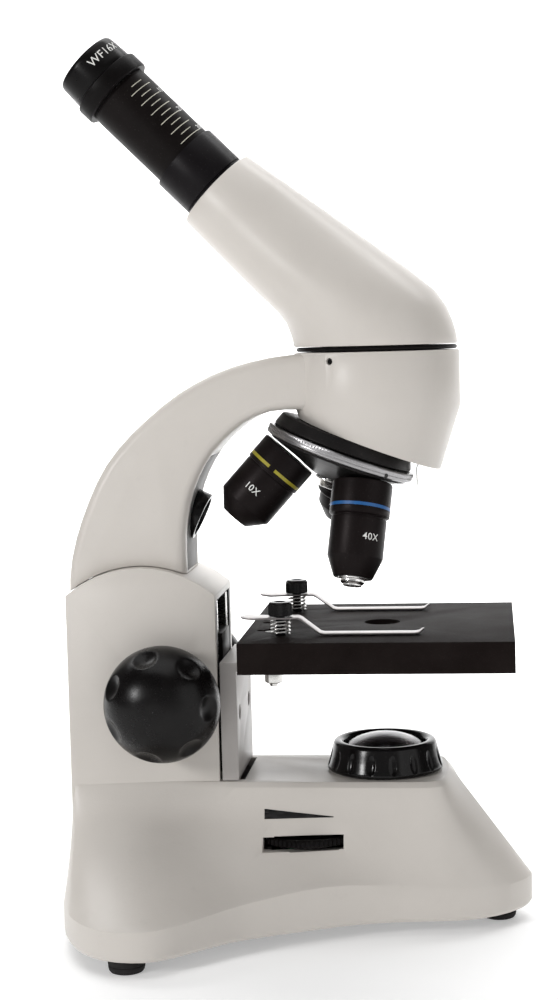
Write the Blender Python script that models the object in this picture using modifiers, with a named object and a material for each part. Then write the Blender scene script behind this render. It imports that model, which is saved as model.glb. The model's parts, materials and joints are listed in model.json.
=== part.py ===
"""A monocular school microscope with a square stage, a three-place turret and a draw tube.

The model is laid out about a datum at the middle of the stage's rear top edge, in
millimetres: x runs forwards, y to the far side and z up. The function at() turns that
into the part's own frame, whose origin is on the table under the middle of its box.
"""
import math

import bmesh
import bpy
from mathutils import Vector

MM = 0.001
DATUM_X = -15.0            # stage rear edge from the middle of the model's box
DATUM_Z = 103.6            # stage top above the table
GAP = 0.3                  # between pieces that touch

STAGE_SIZE = 90.0
STAGE_THICK = 10.3
AXIS_X = 45.0              # optical axis, from the stage's rear edge
DECK_Z = -51.3             # top of the base in front of the pillar
RIM_BOTTOM = -98.3
FOOT_HEIGHT = 5.3
WALL = 3.0
RING_STEPS = 2              # points per listed point round the base's outlines
PILLAR_REAR = -61.8
PILLAR_FRONT = -10.3
PILLAR_HALF = 20.0
ARCH_X = -36.2
ARCH_RADIUS = 40.0
ARCH_TOP = 22.1
CHANNEL_HALF = 15.0
CHANNEL_REAR = -34.0
CHANNEL_TOP = 10.2
ARM_ROUND = 3.2            # radius along the arm's edges
ARM_HALF = 16.0
DRUM_RADIUS = 28.2
DRUM_TOP = 93.3
PINION_X = -27.0
PINION_Z = -22.0
GEAR_MODULE = 0.8
PINION_TEETH = 12
PITCH_RADIUS = GEAR_MODULE * PINION_TEETH / 2
KNOB_RADIUS = 19.6
CLIP_X = 12.7
CLIP_Y = 28.0
CLIP_Z = 5.75              # underside of a clip's strip at its screw
TURRET_TILT = math.radians(21.3)
APEX_Z = 92.5              # where the turret's axis and the objectives' axes meet
APEX_S = 102.5             # the same point, measured along the turret's axis
TURRET_TURN = -47.0        # the 40x objective's angle from the optical axis, degrees
TUBE_BEND_Z = 96.5         # where the eyepiece tube's axis leaves the optical axis
TUBE_BEND_T = 36.4         # the same point, measured along the tube

Z_AXIS = Vector((0, 0, 1))
TURRET_UP = Vector((math.sin(TURRET_TILT), 0, math.cos(TURRET_TILT)))
TURRET_FRONT = Vector((math.cos(TURRET_TILT), 0, -math.sin(TURRET_TILT)))
TUBE_UP = Vector((-math.sqrt(0.5), 0, math.sqrt(0.5)))
LAMP_OUT = Vector((0.905, 0, -0.425))


def at(x, y, z):
    """A point given about the stage's datum, in the part's frame and in metres."""
    return Vector(((x + DATUM_X) * MM, y * MM, (z + DATUM_Z) * MM))


def clear_scene():
    for obj in list(bpy.data.objects):
        bpy.data.objects.remove(obj, do_unlink=True)


def new_collection(name):
    group = bpy.data.collections.new(name)
    bpy.context.scene.collection.children.link(group)
    return group


def make_material(name, colour, roughness, metallic=0.0, alpha=1.0):
    mat = bpy.data.materials.new(name)
    mat.use_nodes = True
    shader = mat.node_tree.nodes["Principled BSDF"]
    shader.inputs["Base Color"].default_value = (*colour, 1.0)
    shader.inputs["Roughness"].default_value = roughness
    shader.inputs["Metallic"].default_value = metallic
    shader.inputs["Alpha"].default_value = alpha
    return mat


WHEEL_HUB = at(18.3, -9.7, 0)

clear_scene()
PARTS = new_collection("microscope")
CUTTERS = new_collection("cutters")
PAINT = make_material("pale_paint", (0.62, 0.60, 0.58), 0.35)
PLATE_PAINT = make_material("bracket_paint", (0.55, 0.53, 0.51), 0.45)
BLACK = make_material("black_plastic", (0.02, 0.02, 0.02), 0.3)
ANODISED = make_material("black_anodised", (0.03, 0.028, 0.028), 0.35, 0.6)
STAGE_BLACK = make_material("stage_black", (0.035, 0.03, 0.03), 0.5)
GREY = make_material("grey_plastic", (0.16, 0.15, 0.15), 0.5)
STEEL = make_material("bright_steel", (0.7, 0.69, 0.67), 0.2, 1.0)
BRASS = make_material("brass", (0.75, 0.58, 0.28), 0.3, 1.0)
RUBBER = make_material("foot_rubber", (0.015, 0.015, 0.015), 0.8)
GLASS = make_material("lens_glass", (0.85, 0.9, 0.92), 0.05, 0.0, 0.35)
BOARD = make_material("board_green", (0.05, 0.25, 0.1), 0.6)
LED = make_material("led_yellow", (0.9, 0.85, 0.5), 0.4)


def add_part(obj, name, mat):
    """Name a finished object, give it its material and put it with the parts."""
    for group in list(obj.users_collection):
        group.objects.unlink(obj)
    PARTS.objects.link(obj)
    obj.name = name
    obj.data.name = name
    obj.data.materials.clear()
    obj.data.materials.append(mat)
    return obj


def as_cutter(obj):
    for group in list(obj.users_collection):
        group.objects.unlink(obj)
    CUTTERS.objects.link(obj)
    obj.hide_render = True
    obj.display_type = "WIRE"
    return obj


def combine(obj, operation, others):
    for other in others:
        mod = obj.modifiers.new(operation.lower(), "BOOLEAN")
        mod.operation = operation
        mod.solver = "EXACT"
        mod.object = as_cutter(other)


def cut(obj, *cutters):
    combine(obj, "DIFFERENCE", cutters)


def join(obj, *others):
    combine(obj, "UNION", others)


def mesh_object(verts, edges=(), faces=()):
    mesh = bpy.data.meshes.new("shape")
    mesh.from_pydata([tuple(v) for v in verts], list(edges), list(faces))
    obj = bpy.data.objects.new("shape", mesh)
    bpy.context.scene.collection.objects.link(obj)
    return obj


def aim(obj, origin, direction):
    obj.location = origin
    obj.rotation_mode = "QUATERNION"
    obj.rotation_quaternion = Z_AXIS.rotation_difference(Vector(direction))


def turned(profile, origin, direction=Z_AXIS, steps=32):
    """Turn a profile of (radius, height) points about an axis.

    The points run down the outer side. A profile that starts or ends away from the
    axis is closed on itself and makes a ring.
    """
    verts = [(r * MM, 0, h * MM) for r, h in profile]
    edges = [(i, i + 1) for i in range(len(verts) - 1)]
    if profile[0][0] > 0:
        edges.append((len(verts) - 1, 0))
    obj = mesh_object(verts, edges)
    mod = obj.modifiers.new("turn", "SCREW")
    mod.steps = steps
    mod.render_steps = steps
    mod.use_merge_vertices = True
    mod.merge_threshold = 0.00001
    aim(obj, origin, direction)
    return obj


def rod(radius, start, end, origin, direction=Z_AXIS, steps=16):
    """A plain round bar between two heights along an axis."""
    bpy.ops.mesh.primitive_cylinder_add(vertices=steps, radius=radius * MM, depth=(end - start) * MM)
    obj = bpy.context.object
    aim(obj, origin + Vector(direction).normalized() * (start + end) / 2 * MM, direction)
    return obj


def tube(outer, inner, start, end, origin, direction=Z_AXIS, steps=32):
    profile = [(outer, end), (outer, start), (inner, start), (inner, end)]
    return turned(profile, origin, direction, steps)


def box(low, high):
    """A box between two corners given about the datum."""
    low_corner = at(*low)
    high_corner = at(*high)
    bpy.ops.mesh.primitive_cube_add(size=1, location=(low_corner + high_corner) / 2)
    obj = bpy.context.object
    obj.scale = high_corner - low_corner
    bpy.ops.object.transform_apply(location=False, rotation=False, scale=True)
    return obj


def bevel(obj, width, segments=2, angle=40):
    mod = obj.modifiers.new("edges", "BEVEL")
    mod.width = width * MM
    mod.segments = segments
    mod.limit_method = "ANGLE"
    mod.angle_limit = math.radians(angle)
    return obj


def outline_solid(points, y_low, y_high):
    """Extrude a closed side outline of (x, z) points between two depths."""
    curve = bpy.data.curves.new("outline", "CURVE")
    curve.dimensions = "2D"
    curve.fill_mode = "BOTH"
    curve.extrude = (y_high - y_low) / 2 * MM
    spline = curve.splines.new("POLY")
    spline.points.add(len(points) - 1)
    spline.use_cyclic_u = True
    for point, (x, z) in zip(spline.points, points):
        place = at(x, 0, z)
        point.co = (place.x, place.z, 0, 1)
    guide = bpy.data.objects.new("outline", curve)
    bpy.context.scene.collection.objects.link(guide)
    guide.location.y = (y_low + y_high) / 2 * MM
    guide.rotation_euler.x = math.pi / 2
    return curve_to_mesh(guide)


def curve_to_mesh(guide):
    """Swap a curve object for the closed mesh that it makes."""
    bpy.context.view_layer.update()
    evaluated = guide.evaluated_get(bpy.context.evaluated_depsgraph_get())
    mesh = bpy.data.meshes.new_from_object(evaluated)
    bm = bmesh.new()
    bm.from_mesh(mesh)
    bmesh.ops.remove_doubles(bm, verts=bm.verts, dist=0.00001)
    bmesh.ops.recalc_face_normals(bm, faces=bm.faces)
    bm.to_mesh(mesh)
    bm.free()
    obj = bpy.data.objects.new("shape", mesh)
    bpy.context.scene.collection.objects.link(obj)
    obj.matrix_world = guide.matrix_world
    bpy.data.objects.remove(guide, do_unlink=True)
    return obj


def loft(rings):
    """Skin a stack of rings that have equal numbers of points, and cap both ends."""
    bm = bmesh.new()
    loops = [[bm.verts.new(p) for p in ring] for ring in rings]
    count = len(loops[0])
    for lower, upper in zip(loops, loops[1:]):
        for i in range(count):
            j = (i + 1) % count
            bm.faces.new((lower[i], lower[j], upper[j], upper[i]))
    bmesh.ops.triangulate(bm, faces=bm.faces)
    bm.faces.new(loops[0])
    bm.faces.new(loops[-1])
    bmesh.ops.recalc_face_normals(bm, faces=bm.faces)
    obj = mesh_object([])
    bm.to_mesh(obj.data)
    bm.free()
    return obj


def smooth(points, steps):
    """Points along a Catmull-Rom curve through the given (x, z) points."""
    padded = [points[0]] + list(points) + [points[-1]]
    result = []
    for a, b, c, d in zip(padded, padded[1:], padded[2:], padded[3:]):
        for i in range(steps):
            t = i / steps
            result.append(tuple(
                0.5 * (2 * q + (r - p) * t + (2 * p - 5 * q + 4 * r - s) * t * t
                       + (3 * q - p - 3 * r + s) * t ** 3)
                for p, q, r, s in zip(a, b, c, d)))
    result.append(points[-1])
    return result


def round_off(obj):
    """Shade smooth, with creases kept sharp."""
    obj.data.shade_smooth()
    obj.data.set_sharp_from_angle(angle=math.radians(35))
    return obj


# Base ---------------------------------------------------------------------

# Half outlines from the rear middle round the far side to the front middle: the rim on
# the table, with its wide rear wings, and the body at the height of the deck.
RIM_HALF = [(-65, 0), (-64.3, 20), (-61.8, 38), (-57, 52), (-51, 62), (-42.5, 69), (-33, 71),
            (-24.5, 69), (-15, 60.5), (-4.5, 50), (6, 43.5), (18, 37.5), (33, 30.5), (48, 26.3),
            (62, 24.8), (72, 23.2), (80, 20), (87.5, 14), (93, 6.5), (95, 0)]
BODY_HALF = [(-62, 0), (-62, 10), (-62, 17), (-60.5, 20.2), (-56, 20.4), (-50, 20.6), (-42, 20.8),
             (-34, 21), (-25, 21.3), (-15, 21.6), (-5, 22), (6, 22.3), (18, 22.4), (33, 22.4),
             (48, 22.4), (57, 22.2), (63, 21), (66, 18), (67.5, 10), (68, 0)]


def rim_top(x):
    """Height of the crease along the top of the rim, which rises at mid length."""
    return -88.3 + 4.3 * math.exp(-((x - 26) / 30) ** 2)


def offset_inwards(ring, amount):
    """Move each point of a closed ring inwards, square to the line through its neighbours."""
    moved = []
    for i, (x, y) in enumerate(ring):
        before = ring[i - 1]
        after = ring[(i + 1) % len(ring)]
        along = Vector((after[0] - before[0], after[1] - before[1])).normalized()
        moved.append((x + along.y * amount, y - along.x * amount))
    return moved


def whole(half):
    """Mirror a half outline to the near side."""
    return list(half) + [(x, -y) for x, y in half[-2:0:-1]]


def hollow_body():
    """The body's outline moved in by the wall, with square corners."""
    low = BODY_HALF[0][0] + WALL
    high = BODY_HALF[-1][0] - WALL
    inner = [(min(max(x, low), high), max(y - WALL, 0)) for x, y in smooth(BODY_HALF, RING_STEPS)]
    return whole(inner)


def base_ring(flare, inset=0.0, drop=0.0, level=None, hollow=False):
    """One ring of the base's skin: flare is 0 at the deck and 1 at the rim."""
    rims = whole(smooth(RIM_HALF, RING_STEPS))
    bodies = hollow_body() if hollow else whole(smooth(BODY_HALF, RING_STEPS))
    inner_rims = offset_inwards(rims, WALL) if hollow else rims
    last = len(rims) // 2
    reach = 5 * RING_STEPS
    ring = []
    heights = []
    for i, (rim, inner_rim, body) in enumerate(zip(rims, inner_rims, bodies)):
        front = max(0.0, (reach - abs(i - last)) / reach)
        share = flare ** (2.0 - front)
        ring.append((body[0] + (inner_rim[0] - body[0]) * share, body[1] + (inner_rim[1] - body[1]) * share))
        heights.append(DECK_Z + (rim_top(rim[0]) - DECK_Z) * flare - drop)
    if inset:
        ring = offset_inwards(ring, inset)
    return [at(x, y, z if level is None else level) for (x, y), z in zip(ring, heights)]


def make_base():
    outer = [base_ring(1, 0.8, level=RIM_BOTTOM), base_ring(1, level=RIM_BOTTOM + 1.2), base_ring(1)]
    outer += [base_ring(flare) for flare in (0.96, 0.86, 0.72, 0.56, 0.38, 0.2, 0.05)]
    outer.append(base_ring(0, 1.2))
    base = loft(outer)
    inner = [base_ring(1, level=RIM_BOTTOM - 2, hollow=True), base_ring(1, level=RIM_BOTTOM + 6, hollow=True)]
    inner += [base_ring(flare, drop=WALL, hollow=True) for flare in (0.9, 0.7, 0.45, 0.2, 0)]
    pillar = outline_solid(pillar_outline(), -PILLAR_HALF, PILLAR_HALF)
    bevel(pillar, 2.0)
    join(base, pillar)
    cut(base, loft(inner))
    cut(base, box((CHANNEL_REAR, -CHANNEL_HALF, -60), (PILLAR_FRONT + 2, CHANNEL_HALF, CHANNEL_TOP)))
    cut(base, box((PILLAR_FRONT - 1, -17, -60), (-2, 17, DECK_Z + 2)))
    cut(base, rod(5.3, -30, 30, at(PINION_X, 0, PINION_Z), (0, 1, 0), 16))
    cut(base, rod(12.4, -70, -45, at(AXIS_X, 0, 0), Z_AXIS, 24))
    cut(base, box((4.8, -36, -73.35), (31.8, -20, -68.85)))
    cut(base, rod(19.6, -73.6, -68.6, WHEEL_HUB, steps=48))
    cut(base, box((-70, -8.3, -84.3), (-55, 3.3, -75.7)))
    cut(base, box((-71, 8.1, -84.1), (-54, 16.7, -75.5)))
    round_off(base)
    return add_part(base, "base_casting", PAINT)


def pillar_outline():
    """Side outline of the pillar, under its arched top."""
    return [(PILLAR_REAR, -62)] + arch_points() + [(PILLAR_FRONT, -62)]


def arch_points(lift=0.0):
    """Points along the pillar's arched top, rear to front."""
    centre_z = ARCH_TOP - ARCH_RADIUS
    count = 10
    points = []
    for i in range(count + 1):
        x = PILLAR_REAR + (PILLAR_FRONT - PILLAR_REAR) * i / count
        points.append((x, centre_z + math.sqrt(ARCH_RADIUS ** 2 - (x - ARCH_X) ** 2) + lift))
    return points


def make_bottom_cover():
    cover = loft([base_ring(1, WALL + GAP, level=RIM_BOTTOM + 0.2),
                  base_ring(1, WALL + GAP, level=RIM_BOTTOM + 2.2)])
    return add_part(cover, "bottom_cover", GREY)


def make_feet():
    places = {"foot_rear_left": (-36.3, -61.5), "foot_rear_right": (-36.3, 61.5), "foot_front": (83.4, 0)}
    top = RIM_BOTTOM + 0.2 - GAP
    bottom = RIM_BOTTOM - FOOT_HEIGHT
    for name, (x, y) in places.items():
        profile = [(0, top), (6.2, top), (5.9, bottom + 0.8), (5.2, bottom), (0, bottom)]
        foot = turned(profile, at(x, y, 0), steps=24)
        add_part(round_off(foot), name, RUBBER)


def make_lower_light():
    axis = at(AXIS_X, 0, 0)
    profile = [(17.2, -40.6), (17.6, -41.1), (20.0, -49.5), (20.0, DECK_Z + GAP), (13.6, DECK_Z + GAP),
               (13.6, -41.4), (15.0, -40.6)]
    collar = turned(profile, axis, steps=28)
    add_part(round_off(collar), "illuminator_collar", BLACK)
    lens_profile = [(0, -38.6), (5.0, -39.1), (9.5, -40.4), (13.1, -42.6), (13.1, -44.6), (12.0, -45.6),
                    (12.0, -53.5), (0, -53.5)]
    lens = turned(lens_profile, axis, steps=20)
    add_part(round_off(lens), "illuminator_lens", GLASS)
    board = box((4, -20, -82.6), (62, 16, -81))
    dimmer = rod(8.0, -81.8, -74.5, WHEEL_HUB, steps=20)
    spindle = rod(2.1, -75, -67.5, WHEEL_HUB, steps=12)
    join(board, dimmer, spindle)
    add_part(board, "circuit_board", BOARD)
    stem = rod(3.4, -80.7, -66, axis, steps=16)
    head = rod(6.0, -66.5, -62, axis, steps=20)
    join(stem, head)
    add_part(round_off(stem), "lower_led", LED)


def make_wheel():
    wheel = tube(19.2, 2.4, -72.5, -69.6, WHEEL_HUB, steps=32)
    add_part(round_off(wheel), "brightness_wheel", BLACK)


def make_rear_fittings():
    """The power socket and the lamp switch, in the rear wall of the base."""
    jack = box((-64.0, 8.4, -83.8), (-51, 16.4, -75.8))
    cut(jack, rod(2.6, -8, 6, at(-61, 12.4, -79.8), (1, 0, 0), 12))
    add_part(jack, "power_jack", BLACK)
    outline = [(-64.9, -82.6), (-63.6, -80.0), (-63.8, -77.4), (-60.6, -76.6), (-58.8, -78.6),
               (-58.8, -81.4), (-60.6, -83.4)]
    rocker = outline_solid(outline, -7.6, 2.6)
    add_part(rocker, "lamp_switch", BLACK)


# Focusing drive -----------------------------------------------------------

def pinion_outline():
    """Points round the pinion's involute teeth, thinned for backlash."""
    base = PITCH_RADIUS * math.cos(math.radians(20))
    root = PITCH_RADIUS - 1.15
    tip = PITCH_RADIUS + 0.75
    backlash = 0.22
    half_pitch_angle = (math.pi * GEAR_MODULE / 2 - backlash) / (2 * PITCH_RADIUS)
    involute_at_pitch = math.tan(math.radians(20)) - math.radians(20)
    points = []
    for tooth in range(PINION_TEETH):
        middle = 2 * math.pi * tooth / PINION_TEETH
        flank = []
        for radius in (root, base, tip):
            along = math.acos(min(1.0, base / radius))
            spread = half_pitch_angle + involute_at_pitch - (math.tan(along) - along)
            flank.append((radius, spread))
        for radius, spread in flank:
            points.append((radius * math.cos(middle - spread), radius * math.sin(middle - spread)))
        for radius, spread in reversed(flank):
            points.append((radius * math.cos(middle + spread), radius * math.sin(middle + spread)))
    return points


def make_drive():
    origin = at(PINION_X, 0, PINION_Z)
    shaft = rod(3.0, -44, 44, origin, (0, 1, 0), 16)
    add_part(round_off(shaft), "focus_shaft", STEEL)
    # A tooth of the pinion points straight at a gap of the rack.
    outline = [(PINION_X + a, PINION_Z + b) for a, b in pinion_outline()]
    pinion = outline_solid(outline, -5, 5)
    cut(pinion, rod(3.3, -8, 8, origin, (0, 1, 0), 16))
    add_part(pinion, "drive_pinion", BRASS)
    for name, side in (("bushing_left", -1), ("bushing_right", 1)):
        inner, outer = CHANNEL_HALF - 1, PILLAR_HALF - 0.3
        low, high = sorted((side * inner, side * outer))
        bushing = tube(4.9, 3.3, low, high, origin, (0, 1, 0), 16)
        add_part(round_off(bushing), name, BRASS)


def make_knobs():
    hub = PILLAR_HALF + 0.5
    profile = [(0, 50), (6, 49.6), (12, 47.2), (16.6, 43), (19.2, 38), (KNOB_RADIUS, 34.5), (18.6, 29),
               (15.5, 24.4), (9, hub), (3.4, hub), (3.4, 44.6), (0, 44.6)]
    for name, side in (("focus_knob_left", -1), ("focus_knob_right", 1)):
        knob = turned(profile, at(PINION_X, 0, PINION_Z), (0, side, 0), 24)
        add_part(round_off(knob), name, BLACK)


def make_guides():
    """Two fixed rails with undercut faces, and the block that slides between them."""
    for name, side in (("guide_rail_left", -1), ("guide_rail_right", 1)):
        wall = side * (CHANNEL_HALF - GAP)
        rings = []
        for z in (-49, CHANNEL_TOP - 0.6):
            rings.append([at(-16.8, side * 11.65, z), at(-16.8, wall, z), at(-10.8, wall, z),
                          at(-10.8, side * 9.8, z)])
        add_part(loft(rings), name, STEEL)
    block = slide_block()
    add_part(block, "slide_block", GREY)


def slide_block():
    """The sliding block: wider at the back than at the front, and open for the rack."""
    rings = []
    for z in (-50.5, -2):
        rings.append([at(-16.8, -11.3, z), at(-16.8, 11.3, z), at(-9.6, 9.1, z), at(-9.6, -9.1, z)])
    return loft(rings)


def make_rack():
    pitch = math.pi * GEAR_MODULE
    pitch_line = PINION_X + PITCH_RADIUS
    tip = pitch_line - 0.5
    root = pitch_line + 0.95
    lean = math.tan(math.radians(20))
    half = (pitch - 0.44) / 4
    points = [(-17.1, -43.5), (root, -43.5)]
    first = math.ceil((-42.5 - PINION_Z) / pitch - 0.5)
    count = 12
    for i in range(count):
        z = PINION_Z + (first + i + 0.5) * pitch
        points.append((root, z - half - 0.95 * lean))
        points.append((tip, z - half + 0.5 * lean))
        points.append((tip, z + half - 0.5 * lean))
        points.append((root, z + half + 0.95 * lean))
    points += [(root, -11.5), (-17.1, -11.5)]
    rack = outline_solid(points, -5.5, 5.5)
    add_part(rack, "slide_rack", BRASS)


# Stage --------------------------------------------------------------------

def make_bracket():
    """The upright plate that slides on the pillar, with its shelf under the stage."""
    top = -STAGE_THICK - GAP
    outline = [(-9.3, DECK_Z + GAP), (-9.3, top), (13, top), (13, top - 3), (-3.8, top - 3),
               (-3.8, DECK_Z + GAP)]
    bracket = outline_solid(outline, -PILLAR_HALF, PILLAR_HALF)
    for side in (-1, 1):
        cut(bracket, rod(1.8, -16, -8, at(8.8, side * 17.4, 0), Z_AXIS, 12))
        bore = [(0, 2), (2.7, 2), (2.7, -7.2), (1.7, -7.2), (1.7, -12), (0, -12)]
        cut(bracket, turned(bore, at(0, side * 12.4, -28.9), (1, 0, 0), 12))
    add_part(bracket, "stage_bracket", PLATE_PAINT)
    for name, side in (("bracket_screw_left", -1), ("bracket_screw_right", 1)):
        profile = [(0, -4.9), (2.4, -4.9), (2.4, -6.9), (1.3, -6.9), (1.3, -9.3), (0, -9.3)]
        screw = turned(profile, at(0, side * 12.4, -28.9), (1, 0, 0), 12)
        add_part(round_off(screw), name, STEEL)


def make_stage():
    half = STAGE_SIZE / 2
    stage = box((0, -half, -STAGE_THICK), (STAGE_SIZE, half, 0))
    bevel(stage, 0.5, 1)
    cut(stage, rod(6.15, -12, 2, at(AXIS_X, 0, 0), Z_AXIS, 24))
    for y in (-17.4, 0, 17.4):
        cut(stage, rod(1.4, -3, 2, at(4.8, y, 0), Z_AXIS, 8))
    for side in (-1, 1):
        cut(stage, rod(1.8, -12, 2, at(CLIP_X, side * CLIP_Y, 0), Z_AXIS, 12))
        head = [(0, 1), (3.3, 1), (3.3, -0.6), (1.8, -2.7), (1.8, -12), (0, -12)]
        cut(stage, turned(head, at(8.8, side * 17.4, 0), steps=12))
    add_part(stage, "stage_plate", STAGE_BLACK)
    for name, side in (("stage_bolt_left", -1), ("stage_bolt_right", 1)):
        place = at(8.8, side * 17.4, 0)
        profile = [(0, -0.4), (2.9, -0.4), (2.9, -0.7), (1.4, -2.3), (1.4, -19), (0, -19)]
        bolt = turned(profile, place, steps=10)
        join(bolt, rod(3.1, -18.2, -13.95, place, steps=6))
        add_part(bolt, name, STEEL)


def clip_strip(y):
    """A stage clip's strip: a wide raised tail, a slope, and a flat with a turned-up end."""
    thick = 0.6
    path = [(-0.7, CLIP_Z + 0.3, 2.9), (1.2, CLIP_Z + 0.2, 4.6), (4.5, CLIP_Z, 4.8), (8.6, CLIP_Z, 3.5),
            (19.3, CLIP_Z, 3.4), (26.6, GAP, 3.1), (58.2, GAP, 2.9), (60.4, 1.7, 2.4)]
    rings = []
    for x, z, half in path:
        rings.append([at(x, y - half, z), at(x, y + half, z), at(x, y + half, z + thick),
                      at(x, y - half, z + thick)])
    return loft(rings)


def make_clips():
    for side, word in ((-1, "left"), (1, "right")):
        y = side * CLIP_Y
        place = at(CLIP_X, y, 0)
        clip = clip_strip(y)
        cut(clip, rod(2.1, CLIP_Z - 2, CLIP_Z + 2, place, steps=12))
        add_part(clip, f"clip_{word}", STEEL)
        top = CLIP_Z + 0.6 + GAP
        profile = [(0, top + 4.7), (3.5, top + 4.7), (4.0, top + 4.2), (4.0, top), (1.5, top), (1.5, -12.4),
                   (0, -12.4)]
        screw = turned(profile, place, steps=14)
        cut(screw, rod(2.0, top + 2.7, top + 6, place, steps=6))
        nut_z = -STAGE_THICK - GAP
        join(screw, rod(3.1, nut_z - 1.9, nut_z, place, steps=6))
        add_part(screw, f"clip_screw_{word}", BLACK)
        add_part(clip_spring(place), f"clip_spring_{word}", STEEL)


def clip_spring(place):
    """A short coil between the stage and a clip."""
    radius, wire, turns, points = 3.1, 0.36, 3.2, 32
    low = wire + 0.12
    high = CLIP_Z - wire - 0.12
    curve = bpy.data.curves.new("coil", "CURVE")
    curve.dimensions = "3D"
    curve.bevel_depth = wire * MM
    curve.bevel_resolution = 1
    curve.use_fill_caps = True
    spline = curve.splines.new("POLY")
    spline.points.add(points - 1)
    for i, point in enumerate(spline.points):
        share = i / (points - 1)
        angle = 2 * math.pi * turns * share
        z = low + (high - low) * share
        point.co = (radius * math.cos(angle) * MM, radius * math.sin(angle) * MM, z * MM, 1)
    guide = bpy.data.objects.new("coil", curve)
    bpy.context.scene.collection.objects.link(guide)
    guide.location = place
    return curve_to_mesh(guide)


# Arm and nosepiece --------------------------------------------------------

ARM_OUTER = [(-61.6, 14.5), (-61.2, 20.5), (-59.6, 28.5), (-57.1, 36.5), (-54.1, 43.9), (-50.6, 51.4),
             (-45.5, 59.4), (-38.5, 67), (-32.3, 72.5), (-24.5, 78.7), (-16.8, 83.4), (-8, 87.5),
             (0.3, 90.1), (8.4, 91.8), (15, 92.7), (24, 93.1)]
ARM_INNER = [(24, 74.6), (19, 74.3), (12.5, 74.4), (7.5, 73.4), (1.2, 70.8), (-5.7, 65.5), (-11.5, 59.3),
             (-15.9, 51.5), (-18.3, 45), (-19.8, 38), (-20.6, 31), (-20.6, 19.9)]


def cover_outline(low, high):
    """Side outline of a strip in the arm's inner face, between two depths under it."""
    face = [p for p in ARM_INNER if p[0] < -5 and 19.9 <= p[1] <= 59.3]
    face = smooth([(x, z) for x, z in face], 2)
    return [(x - low, z) for x, z in face] + [(x - high, z) for x, z in face[::-1]]


def spaced(points, count):
    """Evenly spaced points along a line of (x, z) points."""
    lengths = [0.0]
    for (x0, z0), (x1, z1) in zip(points, points[1:]):
        lengths.append(lengths[-1] + math.hypot(x1 - x0, z1 - z0))
    result = []
    k = 0
    for i in range(count):
        goal = lengths[-1] * i / (count - 1)
        while k < len(points) - 2 and lengths[k + 1] < goal:
            k += 1
        share = (goal - lengths[k]) / (lengths[k + 1] - lengths[k])
        result.append(tuple(a + (b - a) * share for a, b in zip(points[k], points[k + 1])))
    return result


def arm_ring(outer, inner):
    """A section across the arm: a rectangle with rounded corners between two (x, z) points."""
    depth = math.dist(outer, inner)
    half = depth / 2
    ring = []
    for corner in range(4):
        side_u = (1, 1, -1, -1)[corner]
        side_y = (-1, 1, 1, -1)[corner]
        centre_u = side_u * (half - ARM_ROUND)
        centre_y = side_y * (ARM_HALF - ARM_ROUND)
        start = (270, 0, 90, 180)[corner]
        for i in range(4):
            angle = math.radians(start + 30 * i)
            u = centre_u + ARM_ROUND * math.cos(angle)
            y = centre_y + ARM_ROUND * math.sin(angle)
            share = 0.5 + u / depth
            ring.append(at(inner[0] + (outer[0] - inner[0]) * share, y,
                           inner[1] + (outer[1] - inner[1]) * share))
    return ring


def make_arm():
    outer = spaced([(-61.6, 4)] + smooth(ARM_OUTER, 2), 21)
    inner = spaced([(-20.6, 4)] + smooth(ARM_INNER[::-1], 2), 21)
    arm = loft([arm_ring(a, b) for a, b in zip(outer, inner)])
    arch_centre = at(ARCH_X, 0, ARCH_TOP - ARCH_RADIUS)
    cut(arm, rod(ARCH_RADIUS + GAP, -30, 30, arch_centre, (0, 1, 0), 120))
    profile = [(0, DRUM_TOP), (27.9, DRUM_TOP), (DRUM_RADIUS, DRUM_TOP - 0.4), (DRUM_RADIUS, 74.5),
               (18.0, 43), (0, 43)]
    drum = turned(profile, at(AXIS_X, 0, 0), steps=32)
    # The drum ends at the turret's seat, along its tilted plane.
    cut(drum, turned([(0, 73), (60, 73), (60, 20), (0, 20)], turret_origin(), TURRET_UP, 4))
    join(arm, drum)
    cut(arm, rod(10.5, 40, 100, at(AXIS_X, 0, 0), Z_AXIS, 20))
    recess = outline_solid(cover_outline(-4, 1.4), -11.4, 11.4)
    cut(arm, recess)
    screw_place = at(30.6, -DRUM_RADIUS * math.cos(math.asin(14.4 / DRUM_RADIUS)), 90.4)
    cut(arm, rod(1.25, -4, 5, screw_place, (-0.51, -0.86, 0), 8))
    round_off(arm)
    add_part(arm, "arm_casting", PAINT)
    lock = rod(0.95, -3.7, -0.6, screw_place, (-0.51, -0.86, 0), 8)
    add_part(lock, "head_lock_screw", STEEL)
    seat_ring = tube(27.4, 11, DRUM_TOP + GAP, 95, at(AXIS_X, 0, 0), steps=28)
    add_part(round_off(seat_ring), "head_seat_ring", BLACK)


def make_upper_lamp():
    """The cover let into the arm, with the lamp's hood and its window."""
    cover = outline_solid(cover_outline(0, 1.1), -11, 11)
    face_centre = at(-16.5, 0, 37.4)
    cut(cover, rod(5.5, -12, 4, face_centre, LAMP_OUT, 14))
    add_part(cover, "upper_lamp_cover", GREY)
    hood = tube(8.4, 6.9, -9, 0, face_centre, LAMP_OUT, 20)
    cut(hood, outline_solid(cover_outline(-GAP, 30), -20, 20))
    add_part(round_off(hood), "upper_lamp_hood", BLACK)
    lens = turned([(0, -0.8), (3.6, -1.2), (6.5, -2.0), (6.5, -2.6), (0, -2.6)], face_centre, LAMP_OUT, 16)
    cut(lens, outline_solid(cover_outline(-GAP, 30), -20, 20))
    add_part(round_off(lens), "upper_lamp_lens", GLASS)


def turret_origin():
    """The point on the turret's axis from which its heights are measured."""
    return at(AXIS_X, 0, APEX_Z) - TURRET_UP * APEX_S * MM


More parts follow.
